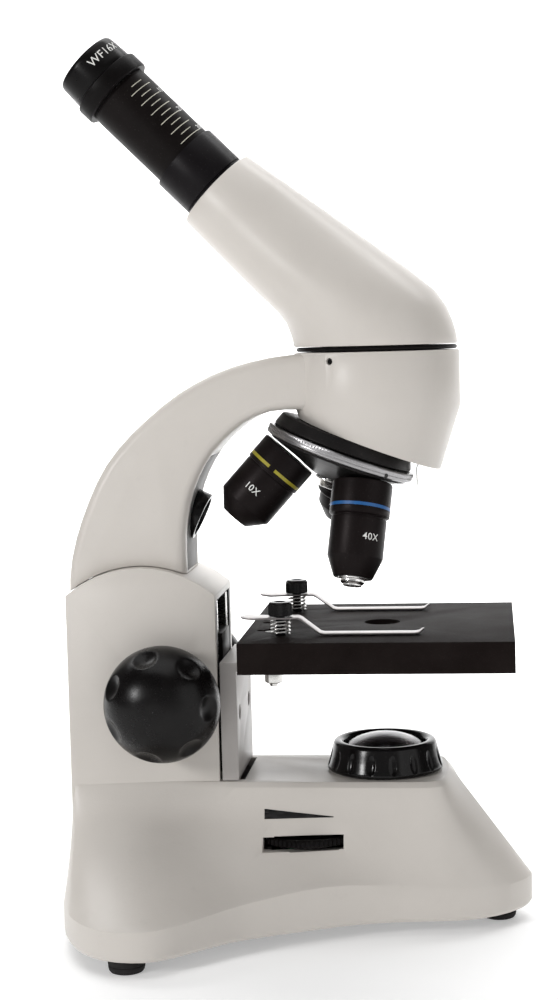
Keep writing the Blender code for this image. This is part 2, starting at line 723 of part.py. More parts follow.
def make_turret():
    origin = turret_origin()
    seat = turned([(23.3, 72.7), (24.7, 68.6), (3.4, 68.6), (3.4, 72.7)], origin, TURRET_UP, 28)
    cut(seat, rod(6.5, 40, 80, at(AXIS_X, 0, 0), Z_AXIS, 14))
    add_part(round_off(seat), "nosepiece_mount", ANODISED)
    ring = tube(26.35, 24.6, 64.9, 68.1, origin, TURRET_UP, 36)
    add_part(round_off(ring), "turret_grip_ring", STEEL)
    slope = math.tan(TURRET_TILT)
    face = APEX_S - 45 * math.cos(TURRET_TILT)
    middle = 45 * math.sin(TURRET_TILT)
    low = face + (6.5 - middle) * slope + GAP
    high = face + (24.3 - middle) * slope + GAP
    profile = [(24.3, 68.2), (24.3, high), (6.5, low), (3.4, low), (3.4, 65.5), (20, 65.5), (20, 68.2)]
    shell = turned(profile, origin, TURRET_UP, 28)
    for turn in (0, -120, 120):
        aim_out = objective_axis(turn)
        cut(shell, rod(6.0, -50, -30, at(AXIS_X, 0, APEX_Z), -aim_out, 12))
    add_part(round_off(shell), "turret_shell", ANODISED)
    pivot = turned([(0, 72), (3.1, 72), (3.1, 56), (5.4, 56), (5.4, low - 0.3 - GAP), (3.6, 53.4), (0, 53.4)],
                   origin, TURRET_UP, 14)
    add_part(round_off(pivot), "turret_pivot_screw", STEEL)


def objective_axis(turn):
    """Direction down an objective; turn is its place on the turret in degrees."""
    angle = math.radians(TURRET_TURN + turn)
    side = TURRET_FRONT * math.cos(angle) + Vector((0, 1, 0)) * math.sin(angle)
    return -TURRET_UP * math.cos(TURRET_TILT) + side * math.sin(TURRET_TILT)


def make_objective(name, turn, profile, mat):
    """Turn a piece of an objective; its heights are negative distances from the apex."""
    piece = turned(profile, at(AXIS_X, 0, APEX_Z), -objective_axis(turn), 20)
    return add_part(round_off(piece), name, mat)


def make_objectives():
    make_objective("objective_40x_body", 0, [
        (10.2, -45.3), (10.2, -56.8), (9.4, -57.5), (9.4, -71.1), (6.5, -77.8), (5.2, -77.8), (5.2, -66),
        (6.4, -60), (6.4, -45.3)], ANODISED)
    make_objective("objective_40x_tip", 0, [
        (4.9, -66.4), (4.9, -78.4), (3.1, -80.6), (1.7, -80.6), (1.7, -79.6), (4.0, -74), (4.0, -66.4)], STEEL)
    make_objective("objective_40x_lens", 0, [
        (0, -78.6), (1.4, -79), (1.4, -80.2), (0, -80.4)], GLASS)
    make_objective("objective_10x_body", -120, [
        (10.35, -45.3), (10.35, -54.6), (10.05, -54.9), (10.05, -68.7), (5.0, -74.2), (3.2, -74.2),
        (3.2, -72), (6.4, -66), (6.4, -45.3)], ANODISED)
    make_objective("objective_10x_lens", -120, [
        (0, -71.2), (2.9, -71.8), (2.9, -73.2), (0, -73.4)], GLASS)
    make_objective("objective_4x_body", 120, [
        (10.2, -45.3), (10.2, -53.5), (9.0, -54.2), (9.0, -58.5), (5.8, -63.5), (4.4, -63.5), (4.4, -61.5),
        (6.4, -58), (6.4, -45.3)], ANODISED)
    make_objective("objective_4x_lens", 120, [
        (0, -60.9), (4.1, -61.5), (4.1, -62.6), (0, -62.9)], GLASS)


def make_detent():
    """A leaf spring that hangs at the front of the nosepiece."""
    thick = 0.5
    front = [(58.3, 54.6), (57.75, 53.4), (57.75, 49.2), (58.1, 47)]
    outline = front + [(x + thick, z) for x, z in front[::-1]]
    add_part(outline_solid(outline, -3, 3), "detent_spring", STEEL)


# Head and eyepiece --------------------------------------------------------

def tube_origin():
    """The point on the eyepiece tube's axis from which its heights are measured."""
    return at(AXIS_X, 0, TUBE_BEND_Z) - TUBE_UP * TUBE_BEND_T * MM


# Side-view pairs of (x, z) points down the head, front edge then rear edge, and the
# half width of the section that joins them.
HEAD_SECTIONS = [((72.7, 95.3), (16.8, 95.3), 27.9), ((72.2, 99), (16.1, 98.6), 28.2),
                 ((71.0, 103), (14.3, 103.5), 28.2), ((69.2, 107.6), (11.4, 107.4), 28),
                 ((65.4, 113.2), (4.1, 114.6), 27), ((56, 121), (-2.0, 120.8), 24.8),
                 ((34, 137.2), (-8.6, 127.7), 20.2), ((16, 150.5), (-14.6, 134), 16.9),
                 ((2.4, 160.4), (-19.2, 139.1), 15.2)]


def make_head():
    rings = []
    count = 26
    for front, rear, width in HEAD_SECTIONS:
        middle_x, middle_z = (front[0] + rear[0]) / 2, (front[1] + rear[1]) / 2
        half_x, half_z = (front[0] - rear[0]) / 2, (front[1] - rear[1]) / 2
        ring = []
        for i in range(count):
            angle = 2 * math.pi * i / count
            along = math.cos(angle)
            ring.append(at(middle_x + half_x * along, width * math.sin(angle), middle_z + half_z * along))
        rings.append(ring)
    head = loft(rings)
    cut(head, rod(17, 90, 111, at(AXIS_X, 0, 0), Z_AXIS, 20))
    cut(head, rod(12.5, 56, 118, tube_origin(), TUBE_UP, 26))
    round_off(head)
    add_part(head, "head_housing", PAINT)
    prism = outline_solid([(34.5, 97.2), (55, 97.2), (55, 99), (41, 109), (34.5, 106)], -9, 9)
    add_part(prism, "prism", GLASS)


def make_eyepiece():
    origin = tube_origin()
    sleeve = turned([(12.6, 127.3), (12.6, 113.3), (12.05, 113.3), (12.05, 96), (11.8, 96), (11.8, 127.3)],
                    origin, TUBE_UP, 28)
    add_part(round_off(sleeve), "tube_sleeve", ANODISED)
    draw = tube(11.5, 10.2, 97, 158.3, origin, TUBE_UP, 28)
    add_part(round_off(draw), "draw_tube", ANODISED)
    ring = turned([(13.0, 164.6), (13.35, 164.2), (13.35, 159.2), (13.0, 158.6), (9.5, 158.6), (9.5, 164.6)],
                  origin, TUBE_UP, 28)
    add_part(round_off(ring), "eyepiece_ring", BLACK)
    cap = turned([(7.6, 174.5), (10.9, 174.5), (11.7, 173.6), (12.2, 165.6), (12.1, 164.9), (8.8, 164.9),
                  (8.8, 171.5), (7.6, 172.3)], origin, TUBE_UP, 28)
    add_part(round_off(cap), "eyepiece_cap", BLACK)
    eye_lens = turned([(0, 171.4), (4.5, 170.9), (8.3, 169.4), (8.3, 168), (0, 168)], origin, TUBE_UP, 18)
    add_part(round_off(eye_lens), "eye_lens", GLASS)
    field_lens = turned([(0, 152), (9.9, 150), (9.8, 148), (0, 147)], origin, TUBE_UP, 14)
    add_part(round_off(field_lens), "field_lens", GLASS)


make_base()
make_bottom_cover()
make_feet()
make_lower_light()
make_wheel()
make_rear_fittings()
make_drive()
make_knobs()
make_guides()
make_rack()
make_bracket()
make_stage()
make_clips()
make_arm()
make_upper_lamp()
make_turret()
make_objectives()
make_detent()
make_head()
make_eyepiece()
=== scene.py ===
import json
import math
import bpy
import bmesh
from mathutils import Matrix, Vector


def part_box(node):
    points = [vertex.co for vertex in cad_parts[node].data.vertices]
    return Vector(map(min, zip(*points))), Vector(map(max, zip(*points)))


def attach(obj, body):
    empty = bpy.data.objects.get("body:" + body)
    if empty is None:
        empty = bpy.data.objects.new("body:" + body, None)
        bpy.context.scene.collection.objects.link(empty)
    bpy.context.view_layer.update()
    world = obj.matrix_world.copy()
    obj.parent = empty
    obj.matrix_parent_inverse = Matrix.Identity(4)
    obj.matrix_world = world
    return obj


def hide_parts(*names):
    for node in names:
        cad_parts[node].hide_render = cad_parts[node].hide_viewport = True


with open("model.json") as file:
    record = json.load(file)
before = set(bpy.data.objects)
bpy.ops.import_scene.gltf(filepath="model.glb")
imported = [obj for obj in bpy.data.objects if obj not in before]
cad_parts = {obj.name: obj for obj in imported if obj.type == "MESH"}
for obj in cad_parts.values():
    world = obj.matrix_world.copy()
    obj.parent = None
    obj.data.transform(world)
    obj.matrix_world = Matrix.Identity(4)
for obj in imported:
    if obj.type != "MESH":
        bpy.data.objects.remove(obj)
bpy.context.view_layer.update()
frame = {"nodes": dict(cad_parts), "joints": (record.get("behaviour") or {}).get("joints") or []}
mm = 0.001
joints = {j["name"]: j for j in frame["joints"]}
stageLow, stageHigh = (Vector(c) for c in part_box("stage_plate"))
zAxis = Vector((0, 0, 1))
turretUp = Vector(joints["turret_turn"]["axis"]).normalized()
tubeUp = Vector(joints["draw_tube_slide"]["axis"]).normalized()
noseUp = Vector(joints["nose_retract"]["axis"]).normalized()
apex = Vector(joints["turret_turn"]["pos_m"])


def at(x, y, z):
    # millimetres from the middle of the stage's rear top edge
    return Vector((stageLow.x + x * mm, y * mm, stageHigh.z + z * mm))


opticAxis = at(45, 0, 0)  # the stage's middle, level with its top
tubeFoot = Vector((apex.x, 0, at(0, 0, 96.5).z)) - tubeUp * 36.4 * mm
turretReach = 102.5  # from the turret's foot up to where the objectives' axes meet
turretFoot = apex - turretUp * turretReach * mm
sides = (("left", -1), ("right", 1))
print("frame loaded,", len(frame["nodes"]), "nodes")


# shader wiring

class Wire:
    def __init__(self, tree, socket):
        self.tree = tree
        self.socket = socket

    def put(self, kind, settings=None, inputs=None, output=0):
        node = self.tree.nodes.new(kind)
        for key, value in (settings or {}).items():
            setattr(node, key, value)
        for key, value in (inputs or {}).items():
            if isinstance(value, Wire):
                self.tree.links.new(value.socket, node.inputs[key])
            else:
                node.inputs[key].default_value = value
        return Wire(self.tree, node.outputs[output])

    def calc(self, operation, first, second=0.0):
        return self.put("ShaderNodeMath", {"operation": operation}, {0: first, 1: second})

    def __add__(self, other):
        return self.calc("ADD", self, other)

    def __radd__(self, other):
        return self.calc("ADD", other, self)

    def __sub__(self, other):
        return self.calc("SUBTRACT", self, other)

    def __rsub__(self, other):
        return self.calc("SUBTRACT", other, self)

    def __mul__(self, other):
        return self.calc("MULTIPLY", self, other)

    def __rmul__(self, other):
        return self.calc("MULTIPLY", other, self)

    def __truediv__(self, other):
        return self.calc("DIVIDE", self, other)

    def __rtruediv__(self, other):
        return self.calc("DIVIDE", other, self)

    def noise(self, scale, detail=3.0, roughness=0.5):
        return self.put("ShaderNodeTexNoise", None,
                        {"Vector": self, "Scale": scale, "Detail": detail, "Roughness": roughness})

    def ramp(self, low, high, toLow=0.0, toHigh=1.0):
        return self.put("ShaderNodeMapRange", None, {"Value": self, 1: low, 2: high, 3: toLow, 4: toHigh})

    def tint(self, colourA, colourB):
        return self.put("ShaderNodeMix", {"data_type": "RGBA"}, {0: self, 6: colourA, 7: colourB}, 2)

    def bump(self, strength, distance):
        return self.put("ShaderNodeBump", None, {"Height": self, "Strength": strength, "Distance": distance})

    def turned(self, axis, origin=(0, 0, 0)):
        # coordinates whose Z runs along axis, measured from origin
        spin = zAxis.rotation_difference(Vector(axis)).inverted()
        shift = -(spin @ Vector(origin))
        return self.put("ShaderNodeMapping", None,
                        {"Vector": self, "Location": shift, "Rotation": spin.to_euler()})


def startMaterial(name, **fixed):
    mat = bpy.data.materials.new(name)
    mat.use_nodes = True
    tree = mat.node_tree
    shader = tree.nodes["Principled BSDF"]
    for key, value in fixed.items():
        shader.inputs[key.replace("_", " ")].default_value = value
    coords = tree.nodes.new("ShaderNodeTexCoord")
    where = Wire(tree, coords.outputs["Object"])

    def plug(key, wire):
        tree.links.new(wire.socket, shader.inputs[key])

    return mat, where, plug


def rgb(r, g, b):
    return (r, g, b, 1.0)


def paintMaterial(name, light, shade, grain=900, channel=None):
    # baked enamel on cast metal: orange peel, faint mottling and a little scattered dust
    mat, where, plug = startMaterial(name, IOR=1.45, Coat_Weight=0.08, Coat_Roughness=0.25)
    peel = where.noise(grain, 2.0, 0.45)
    mottle = where.noise(38, 4.0, 0.6)
    wear = where.noise(210, 5.0, 0.65)
    body = mottle.ramp(0.3, 0.7).tint(rgb(*shade), rgb(*light))
    colour = (wear.ramp(0.62, 0.8) * 0.35).tint(body, rgb(*[c * 0.9 for c in shade]))
    if channel:
        # the inside of the guide channel is painted black as painted shade in the hollow, and the strip of
        # pillar front beside it is black as the pillar's own black face
        near = at(channel["rear"], -channel["half"], channel["low"])
        far = at(channel["front"], 0, channel["top"])
        x, y, z = (where.put("ShaderNodeSeparateXYZ", None, {0: where}, k) for k in range(3))
        side = y.calc("ABSOLUTE", y)
        # the channel's inside walls, which take the painted shade
        hollowShade = x.calc("GREATER_THAN", x, near.x) * side.calc("LESS_THAN", side, -near.y)
        onFront = x.calc("GREATER_THAN", x, far.x - 0.15 * mm)
        face = onFront * side.calc("LESS_THAN", side, channel["face"] * mm)
        level = z.calc("GREATER_THAN", z, near.z) * z.calc("LESS_THAN", z, far.z)
        behind = x.calc("LESS_THAN", x, far.x + 1 * mm)
        inside = hollowShade.calc("MAXIMUM", hollowShade, face) * level * behind
        # black: painted shade inside the channel, the pillar's black face on its front
        colour = inside.tint(colour, rgb(0.006, 0.005, 0.005))
    plug("Base Color", colour)
    plug("Roughness", mottle.ramp(0.3, 0.7, 0.36, 0.44) + wear * 0.06)
    plug("Normal", (peel * 0.7 + wear * 0.3).bump(0.10, 0.0004))
    return mat


def plasticMaterial(name, colour, rough, grain=1500, depth=0.12, coat=0.0, gloss=0.25):
    mat, where, plug = startMaterial(name, IOR=1.42, Coat_Weight=coat, Coat_Roughness=0.08,
                                     Specular_IOR_Level=gloss)
    fine = where.noise(grain, 2.0, 0.5)
    broad = where.noise(70, 4.0, 0.6)
    dust = where.noise(2600, 1.0, 0.4).ramp(0.72, 0.80)
    base = broad.ramp(0.3, 0.7).tint(rgb(*colour), rgb(*[c * 1.35 + 0.002 for c in colour]))
    plug("Base Color", (dust * 0.10).tint(base, rgb(0.20, 0.19, 0.18)))
    plug("Roughness", broad.ramp(0.3, 0.7, rough, rough + 0.08) + fine * 0.05)
    plug("Normal", fine.bump(depth, 0.0003))
    return mat


def turnedMaterial(name, colour, rough, axis, origin, metallic=0.0, rings=2200, depth=0.10):
    # fine rings left by a lathe, square to the axis
    mat, where, plug = startMaterial(name, Metallic=metallic, IOR=1.42, Specular_IOR_Level=0.11)
    local = where.turned(axis, origin)
    height = local.put("ShaderNodeSeparateXYZ", None, {0: local}, 2)
    rows = height.put("ShaderNodeCombineXYZ", None, {2: height})
    groove = rows.noise(rings, 3.0, 0.7)
    broad = where.noise(60, 4.0, 0.6)
    speck = where.noise(1900, 1.0, 0.4).ramp(0.69, 0.76)
    base = broad.ramp(0.3, 0.7).tint(rgb(*colour), rgb(*[c * 1.3 + 0.001 for c in colour]))
    plug("Base Color", (speck * 0.05).tint(base, rgb(0.25, 0.24, 0.23)))
    plug("Roughness", groove.ramp(0.3, 0.7, rough, rough + 0.12) + broad * 0.06)
    plug("Normal", groove.bump(depth, 0.0003))
    return mat


def brushedMaterial(name, colour, rough, stretch=(1, 1, 30), scale=300, depth=0.08):
    mat, where, plug = startMaterial(name, Metallic=1.0)
    drawn = where.put("ShaderNodeMapping", None, {"Vector": where, "Scale": stretch})
    lines = drawn.noise(scale, 4.0, 0.7)
    broad = where.noise(90, 4.0, 0.6)
    plug("Base Color", broad.ramp(0.25, 0.75).tint(rgb(*colour), rgb(*[c * 0.82 for c in colour])))
    plug("Roughness", lines.ramp(0.3, 0.7, rough, rough + 0.14) + broad * 0.05)
    plug("Normal", lines.bump(depth, 0.0002))
    return mat


def inkMaterial(name, colour, rough=0.45):
    # printed or engraved-and-filled ink, thin in places
    mat, where, plug = startMaterial(name)
    patchy = where.noise(1400, 3.0, 0.6)
    plug("Base Color", patchy.ramp(0.35, 0.75).tint(rgb(*colour), rgb(*[c * 0.8 for c in colour])))
    plug("Roughness", patchy * 0.15 + rough)
    return mat


def glassMaterial(name, tintColour, edge, rough=0.02, coat=0.6, gloss=0.5):
    mat, where, plug = startMaterial(name, Transmission_Weight=1.0, IOR=1.5, Coat_Weight=coat,
                                     Coat_Roughness=0.03, Specular_Tint=edge, Specular_IOR_Level=gloss)
    smear = where.noise(120, 4.0, 0.6)
    plug("Base Color", smear.ramp(0.3, 0.7).tint(rgb(*tintColour), rgb(*[c * 0.93 for c in tintColour])))
    plug("Roughness", smear.ramp(0.4, 0.8, rough, rough + 0.05))
    return mat


def boardMaterial():
    mat, where, plug = startMaterial("boardGreen", Coat_Weight=0.5, Coat_Roughness=0.2)
    tracks = where.put("ShaderNodeTexVoronoi", {"feature": "DISTANCE_TO_EDGE"},
                       {"Vector": where, "Scale": 260.0})
    line = tracks.ramp(0.03, 0.07)
    plug("Base Color", line.tint(rgb(0.05, 0.3, 0.12), rgb(0.012, 0.10, 0.04)))
    plug("Roughness", where.noise(400) * 0.2 + 0.3)
    plug("Normal", line.bump(0.3, 0.0001))
    return mat


def lampMaterial():
    mat, where, plug = startMaterial("ledLens", Transmission_Weight=0.3, IOR=1.45, Roughness=0.15)
    core = where.noise(200, 2.0)
    plug("Base Color", core.ramp(0.3, 0.7).tint(rgb(0.92, 0.80, 0.40), rgb(0.85, 0.70, 0.30)))
    return mat


paintTones = ((0.600, 0.565, 0.525), (0.575, 0.541, 0.502))
paint = paintMaterial("palePaint", *paintTones)
platePaint = paintMaterial("bracketPaint", (0.40, 0.375, 0.36), (0.37, 0.35, 0.335), 1300)
glossBlack = plasticMaterial("glossBlack", (0.0028, 0.0024, 0.0025), 0.13, 700, 0.04, 0.0, 0.25)
knobBlack = plasticMaterial("knobBlack", (0.0024, 0.0019, 0.0019), 0.22, 1100, 0.06, 0.0, 0.24)
satinBlack = plasticMaterial("satinBlack", (0.0032, 0.0025, 0.0025), 0.34, 1700, 0.14, 0.0, 0.10)
stageBlack = plasticMaterial("stageBlack", (0.0075, 0.0052, 0.0047), 0.55, 2300, 0.30, 0.0, 0.04)
greyPlastic = plasticMaterial("greyPlastic", (0.16, 0.155, 0.15), 0.45, 1500, 0.25)
rubber = plasticMaterial("footRubber", (0.014, 0.013, 0.013), 0.7, 900, 0.5)
steel = brushedMaterial("brightSteel", (0.70, 0.69, 0.67), 0.16)
clipSteel = brushedMaterial("clipSteel", (0.29, 0.27, 0.265), 0.22, (1, 25, 25), 200)
brass = brushedMaterial("machinedBrass", (0.75, 0.56, 0.26), 0.22)
opticAnodised = turnedMaterial("tubeAnodised", (0.0050, 0.0036, 0.0034), 0.36, tubeUp, tubeFoot, 0.1)
sleeveAnodised = turnedMaterial("sleeveAnodised", (0.0060, 0.0050, 0.0058), 0.30, tubeUp, tubeFoot, 0.1)
turretAnodised = turnedMaterial("turretAnodised", (0.012, 0.011, 0.011), 0.30, turretUp, turretFoot, 0.3)
gripMetal = turnedMaterial("gripMetal", (0.27, 0.265, 0.27), 0.20, turretUp, turretFoot, 1.0, 1500, 0.06)
whiteInk = inkMaterial("whiteInk", (0.80, 0.80, 0.78))
blueInk = inkMaterial("blueInk", (0.010, 0.105, 0.32), 0.35)
yellowInk = inkMaterial("yellowInk", (0.36, 0.31, 0.02), 0.35)
blackInk = inkMaterial("blackInk", (0.006, 0.005, 0.005), 0.5)
clearGlass = glassMaterial("clearGlass", (0.94, 0.96, 0.98), rgb(0.9, 0.95, 1.0))
coatedGlass = glassMaterial("coatedGlass", (0.70, 0.74, 0.86), rgb(0.75, 0.6, 1.0))
domeGlass = glassMaterial("domeGlass", (0.10, 0.09, 0.092), rgb(0.8, 0.8, 0.85), 0.22, 0.0, 0.3)
boardGreen = boardMaterial()
ledLens = lampMaterial()
print("materials made")


# modelling helpers

def letGo():
    if bpy.context.object and bpy.context.object.mode != "OBJECT":
        bpy.ops.object.mode_set(mode="OBJECT")
    bpy.ops.object.select_all(action="DESELECT")


def pick(obj):
    letGo()
    obj.select_set(True)
    bpy.context.view_layer.objects.active = obj


def editing(obj, action="SELECT"):
    pick(obj)
    bpy.ops.object.mode_set(mode="EDIT")
    bpy.ops.mesh.select_all(action=action)


def done():
    bpy.ops.object.mode_set(mode="OBJECT")


def newest(name):
    obj = bpy.context.object
    obj.name = name
    obj.data.name = name
    return obj


def chain(name, points):
    # an open line of edges through (x, 0, z) points in mm, pulled out one vertex at a time
    letGo()
    bpy.ops.mesh.primitive_plane_add(size=0.001, location=(0, 0, 0))
    obj = newest(name)
    bpy.ops.object.mode_set(mode="EDIT")
    bpy.ops.mesh.select_all(action="SELECT")
    bpy.ops.mesh.merge(type="CENTER")
    bpy.ops.transform.translate(value=(points[0][0] * mm, 0, points[0][1] * mm))
    for (x0, z0), (x1, z1) in zip(points, points[1:]):
        bpy.ops.mesh.extrude_vertices_move(
            TRANSFORM_OT_translate={"value": ((x1 - x0) * mm, 0, (z1 - z0) * mm)})
    return obj


def lathe(name, profile, steps=72, angle=360.0):
    # (radius, height) in mm spun about Z; the piece is put in place afterwards
    obj = chain(name, profile)
    bpy.ops.mesh.select_all(action="SELECT")
    bpy.ops.mesh.spin(steps=steps, angle=math.radians(angle), center=(0, 0, 0), axis=(0, 0, 1))
    bpy.ops.mesh.select_all(action="SELECT")
    bpy.ops.mesh.remove_doubles(threshold=0.000004)
    bpy.ops.mesh.normals_make_consistent(inside=False)
    done()
    return obj


def slab(name, outline, low, high):
    # a closed (x, z) outline in mm, filled and pulled along Y from low to high
    obj = chain(name, outline)
    bpy.ops.mesh.select_all(action="SELECT")
    bpy.ops.mesh.edge_face_add()
    bpy.ops.transform.translate(value=(0, low * mm, 0))
    bpy.ops.mesh.extrude_region_move(TRANSFORM_OT_translate={"value": (0, (high - low) * mm, 0)})
    bpy.ops.mesh.select_all(action="SELECT")
    bpy.ops.mesh.normals_make_consistent(inside=False)
    done()
    return obj


def block(name, low, high):
    letGo()
    low, high = Vector(low), Vector(high)
    bpy.ops.mesh.primitive_cube_add(size=1, location=(low + high) / 2, scale=high - low)
    obj = newest(name)
    bpy.ops.object.transform_apply(location=True, rotation=True, scale=True)
    return obj


def stand(obj, origin, axis, facing=None):
    # turn the piece's Z to axis, its -Y to facing when given, and move it to origin
    pick(obj)
    axis = Vector(axis).normalized()
    if facing is None:
        turn = zAxis.rotation_difference(axis).to_matrix()
    else:
        back = -(facing - axis * facing.dot(axis)).normalized()
        turn = Matrix((back.cross(axis), back, axis)).transposed()
    obj.matrix_world = Matrix.Translation(origin) @ turn.to_4x4()
    bpy.ops.object.transform_apply(location=True, rotation=True, scale=True)
    return obj


def middleOf(node):
    low, high = (Vector(c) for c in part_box(node))
    return (low + high) / 2


def soften(obj, width, segments=3, angle=32):
    pick(obj)
    mod = obj.modifiers.new("soften", "BEVEL")
    mod.width = width * mm
    mod.segments = segments
    mod.limit_method = "ANGLE"
    mod.angle_limit = math.radians(angle)
    bpy.ops.object.modifier_apply(modifier=mod.name)
    return obj


def bite(obj, *cutters, operation="DIFFERENCE"):
    for cutter in cutters:
        pick(obj)
        mod = obj.modifiers.new("bite", "BOOLEAN")
        mod.operation = operation
        mod.solver = "EXACT"
        mod.object = cutter
        bpy.ops.object.modifier_apply(modifier=mod.name)
        bpy.data.objects.remove(cutter, do_unlink=True)
    return obj


def weld(name, *parts):
    letGo()
    for part in parts:
        part.select_set(True)
    bpy.context.view_layer.objects.active = parts[0]
    bpy.ops.object.join()
    return newest(name)


def melt(obj, size, rounds=2):
    # even out a carved shape into one soft moulding
    pick(obj)
    obj.data.remesh_voxel_size = size * mm
    bpy.ops.object.voxel_remesh()
    mod = obj.modifiers.new("ease", "SMOOTH")
    mod.iterations = rounds
    bpy.ops.object.modifier_apply(modifier=mod.name)
    return obj


def copyNode(name, node):
    # a CAD node's shape, merged, as a piece of its own
    source = frame["nodes"][node]
    obj = source.copy()
    obj.data = source.data.copy()
    for key in list(obj.keys()):
        del obj[key]
    bpy.context.scene.collection.objects.link(obj)
    obj.parent = None
    obj.name = name
    obj.data.name = name
    obj.hide_render = False
    editing(obj)
    bpy.ops.mesh.remove_doubles(threshold=0.000005)
    bpy.ops.mesh.dissolve_limited(angle_limit=math.radians(0.6))
    bpy.ops.mesh.select_all(action="SELECT")
    bpy.ops.mesh.normals_make_consistent(inside=False)
    done()
    return obj


def flute(obj, low, high, radius, shrink):
    # every other column of a spun band is drawn in, for a milled grip
    editing(obj, "DESELECT")
    bm = bmesh.from_edit_mesh(obj.data)
    angles = sorted({round(math.atan2(v.co.y, v.co.x), 4) for v in bm.verts
                     if v.co.xy.length > radius * mm and low * mm < v.co.z < high * mm})
    odd = set(angles[::2])
    for v in bm.verts:
        outside = v.co.xy.length > radius * mm and low * mm < v.co.z < high * mm
        v.select = outside and round(math.atan2(v.co.y, v.co.x), 4) in odd
    bm.select_flush_mode()
    bmesh.update_edit_mesh(obj.data)
    bpy.ops.transform.resize(value=(shrink, shrink, 1), center_override=(0, 0, 0))
    done()
    return obj


def crossSlot(obj, reach, low, high):
    # a cross recess for a screwdriver
    for wide, deep in ((reach, 0.3), (0.3, reach)):
        bite(obj, block("slot", (-wide * mm, -deep * mm, low * mm), (wide * mm, deep * mm, high * mm)))
    return obj


def towardsFront(axis):
    # square to axis and as near to -Y as that allows
    near = Vector((0, -1, 0))
    return (near - axis * near.dot(axis)).normalized()


def wrapRound(obj, radius):
    # roll a flat piece in the XZ plane round a cylinder about Z, its middle at -Y
    for v in obj.data.vertices:
        turn = v.co.x / (radius * mm)
        out = radius * mm - v.co.y
        v.co = Vector((math.sin(turn) * out, -math.cos(turn) * out, v.co.z))
    return obj


def lettering(name, words, size, spread=1.0, weight=0.004):
    letGo()
    bpy.ops.object.text_add(location=(0, 0, 0))
    obj = bpy.context.object
    obj.data.body = words
    obj.data.size = size * mm
    obj.data.align_x = "CENTER"
    obj.data.align_y = "CENTER"
    obj.data.resolution_u = 4
    obj.data.space_character = spread
    obj.data.offset = weight * size * mm
    bpy.ops.object.convert(target="MESH")
    obj = newest(name)
    obj.rotation_euler = (math.pi / 2, 0, 0)
    bpy.ops.object.transform_apply(location=True, rotation=True, scale=True)
    return obj


def along(points, steps=6):
    # a smooth line through (a, b) points
    padded = [points[0]] + list(points) + [points[-1]]
    result = []
    for a, b, c, d in zip(padded, padded[1:], padded[2:], padded[3:]):
        for i in range(steps):
            t = i / steps
            result.append(tuple(
                0.5 * (2 * q + (r - p) * t + (2 * p - 5 * q + 4 * r - s) * t * t
                       + (3 * q - p - 3 * r + s) * t ** 3)
                for p, q, r, s in zip(a, b, c, d)))
    result.append(points[-1])
    return result


def finishPiece(obj, mat, body, slot, *nodes, crease=34):
    pick(obj)
    obj.data.materials.clear()
    obj.data.materials.append(mat)
    if crease is None:
        bpy.ops.object.shade_smooth()
    else:
        bpy.ops.object.shade_smooth_by_angle(angle=math.radians(crease), keep_sharp_edges=False)
    obj.select_set(False)
    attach(obj, body)
    if nodes:
        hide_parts(*nodes)
    return obj


# base and pillar

# the pillar's guide channel, whose inside gets painted shade, the pillar's front and how far its black face
# reaches to each side
channel = {"half": 15.05, "rear": -34.05, "low": -48.6, "top": 10.3, "front": -10.3, "face": 17.7}
basePaint = paintMaterial("basePaint", *paintTones, channel=channel)
base = copyNode("baseBody", "base_casting")
soften(base, 0.6, 2, 28)
finishPiece(base, basePaint, "frame", "pale_paint", "base_casting", crease=27)
print("base body")

wedge = {"tip": (28.5, -62.9), "foot": (5.2, -63.2), "top": (5.2, -59.9), "lift": 0.12}
mark = slab("wheelScaleWedge", [wedge["foot"], wedge["tip"], (28.5, -62.6), wedge["top"]], -40, -39.9)
editing(mark)
bpy.ops.mesh.subdivide(number_cuts=12)
done()
pick(mark)
stand(mark, at(0, 0, 0), zAxis)
press = mark.modifiers.new("press", "SHRINKWRAP")
press.target = base
press.wrap_method = "PROJECT"
press.use_project_y = True
press.use_project_z = False
press.use_negative_direction = False
press.use_positive_direction = True
press.offset = wedge["lift"] * mm
pick(mark)
bpy.ops.object.modifier_apply(modifier=press.name)
finishPiece(mark, blackInk, "frame", None, crease=None)
print("wheel scale")

foot = {"radius": 6.2, "screw": 2.6}
for node, name in (("foot_rear_left", "footRearLeft"), ("foot_rear_right", "footRearRight"),
                   ("foot_front", "footFront")):
    low, high = (Vector(c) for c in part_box(node))
    tall = (high.z - low.z) / mm
    pad = lathe(name, [
        (0, 1.6), (foot["screw"], 1.6), (foot["screw"], 0.5), (3.2, 0.1), (4.9, 0), (5.4, 0.2), (5.8, 0.8),
        (6.0, 1.6), (6.05, 2.2), (5.85, 2.35), (5.85, 2.6), (6.1, 2.75), (foot["radius"], tall),
        (0, tall)], 48)
    stand(pad, Vector(((low.x + high.x) / 2, (low.y + high.y) / 2, low.z)), zAxis)
    finishPiece(pad, rubber, "frame", "foot_rubber", node)
print("feet")

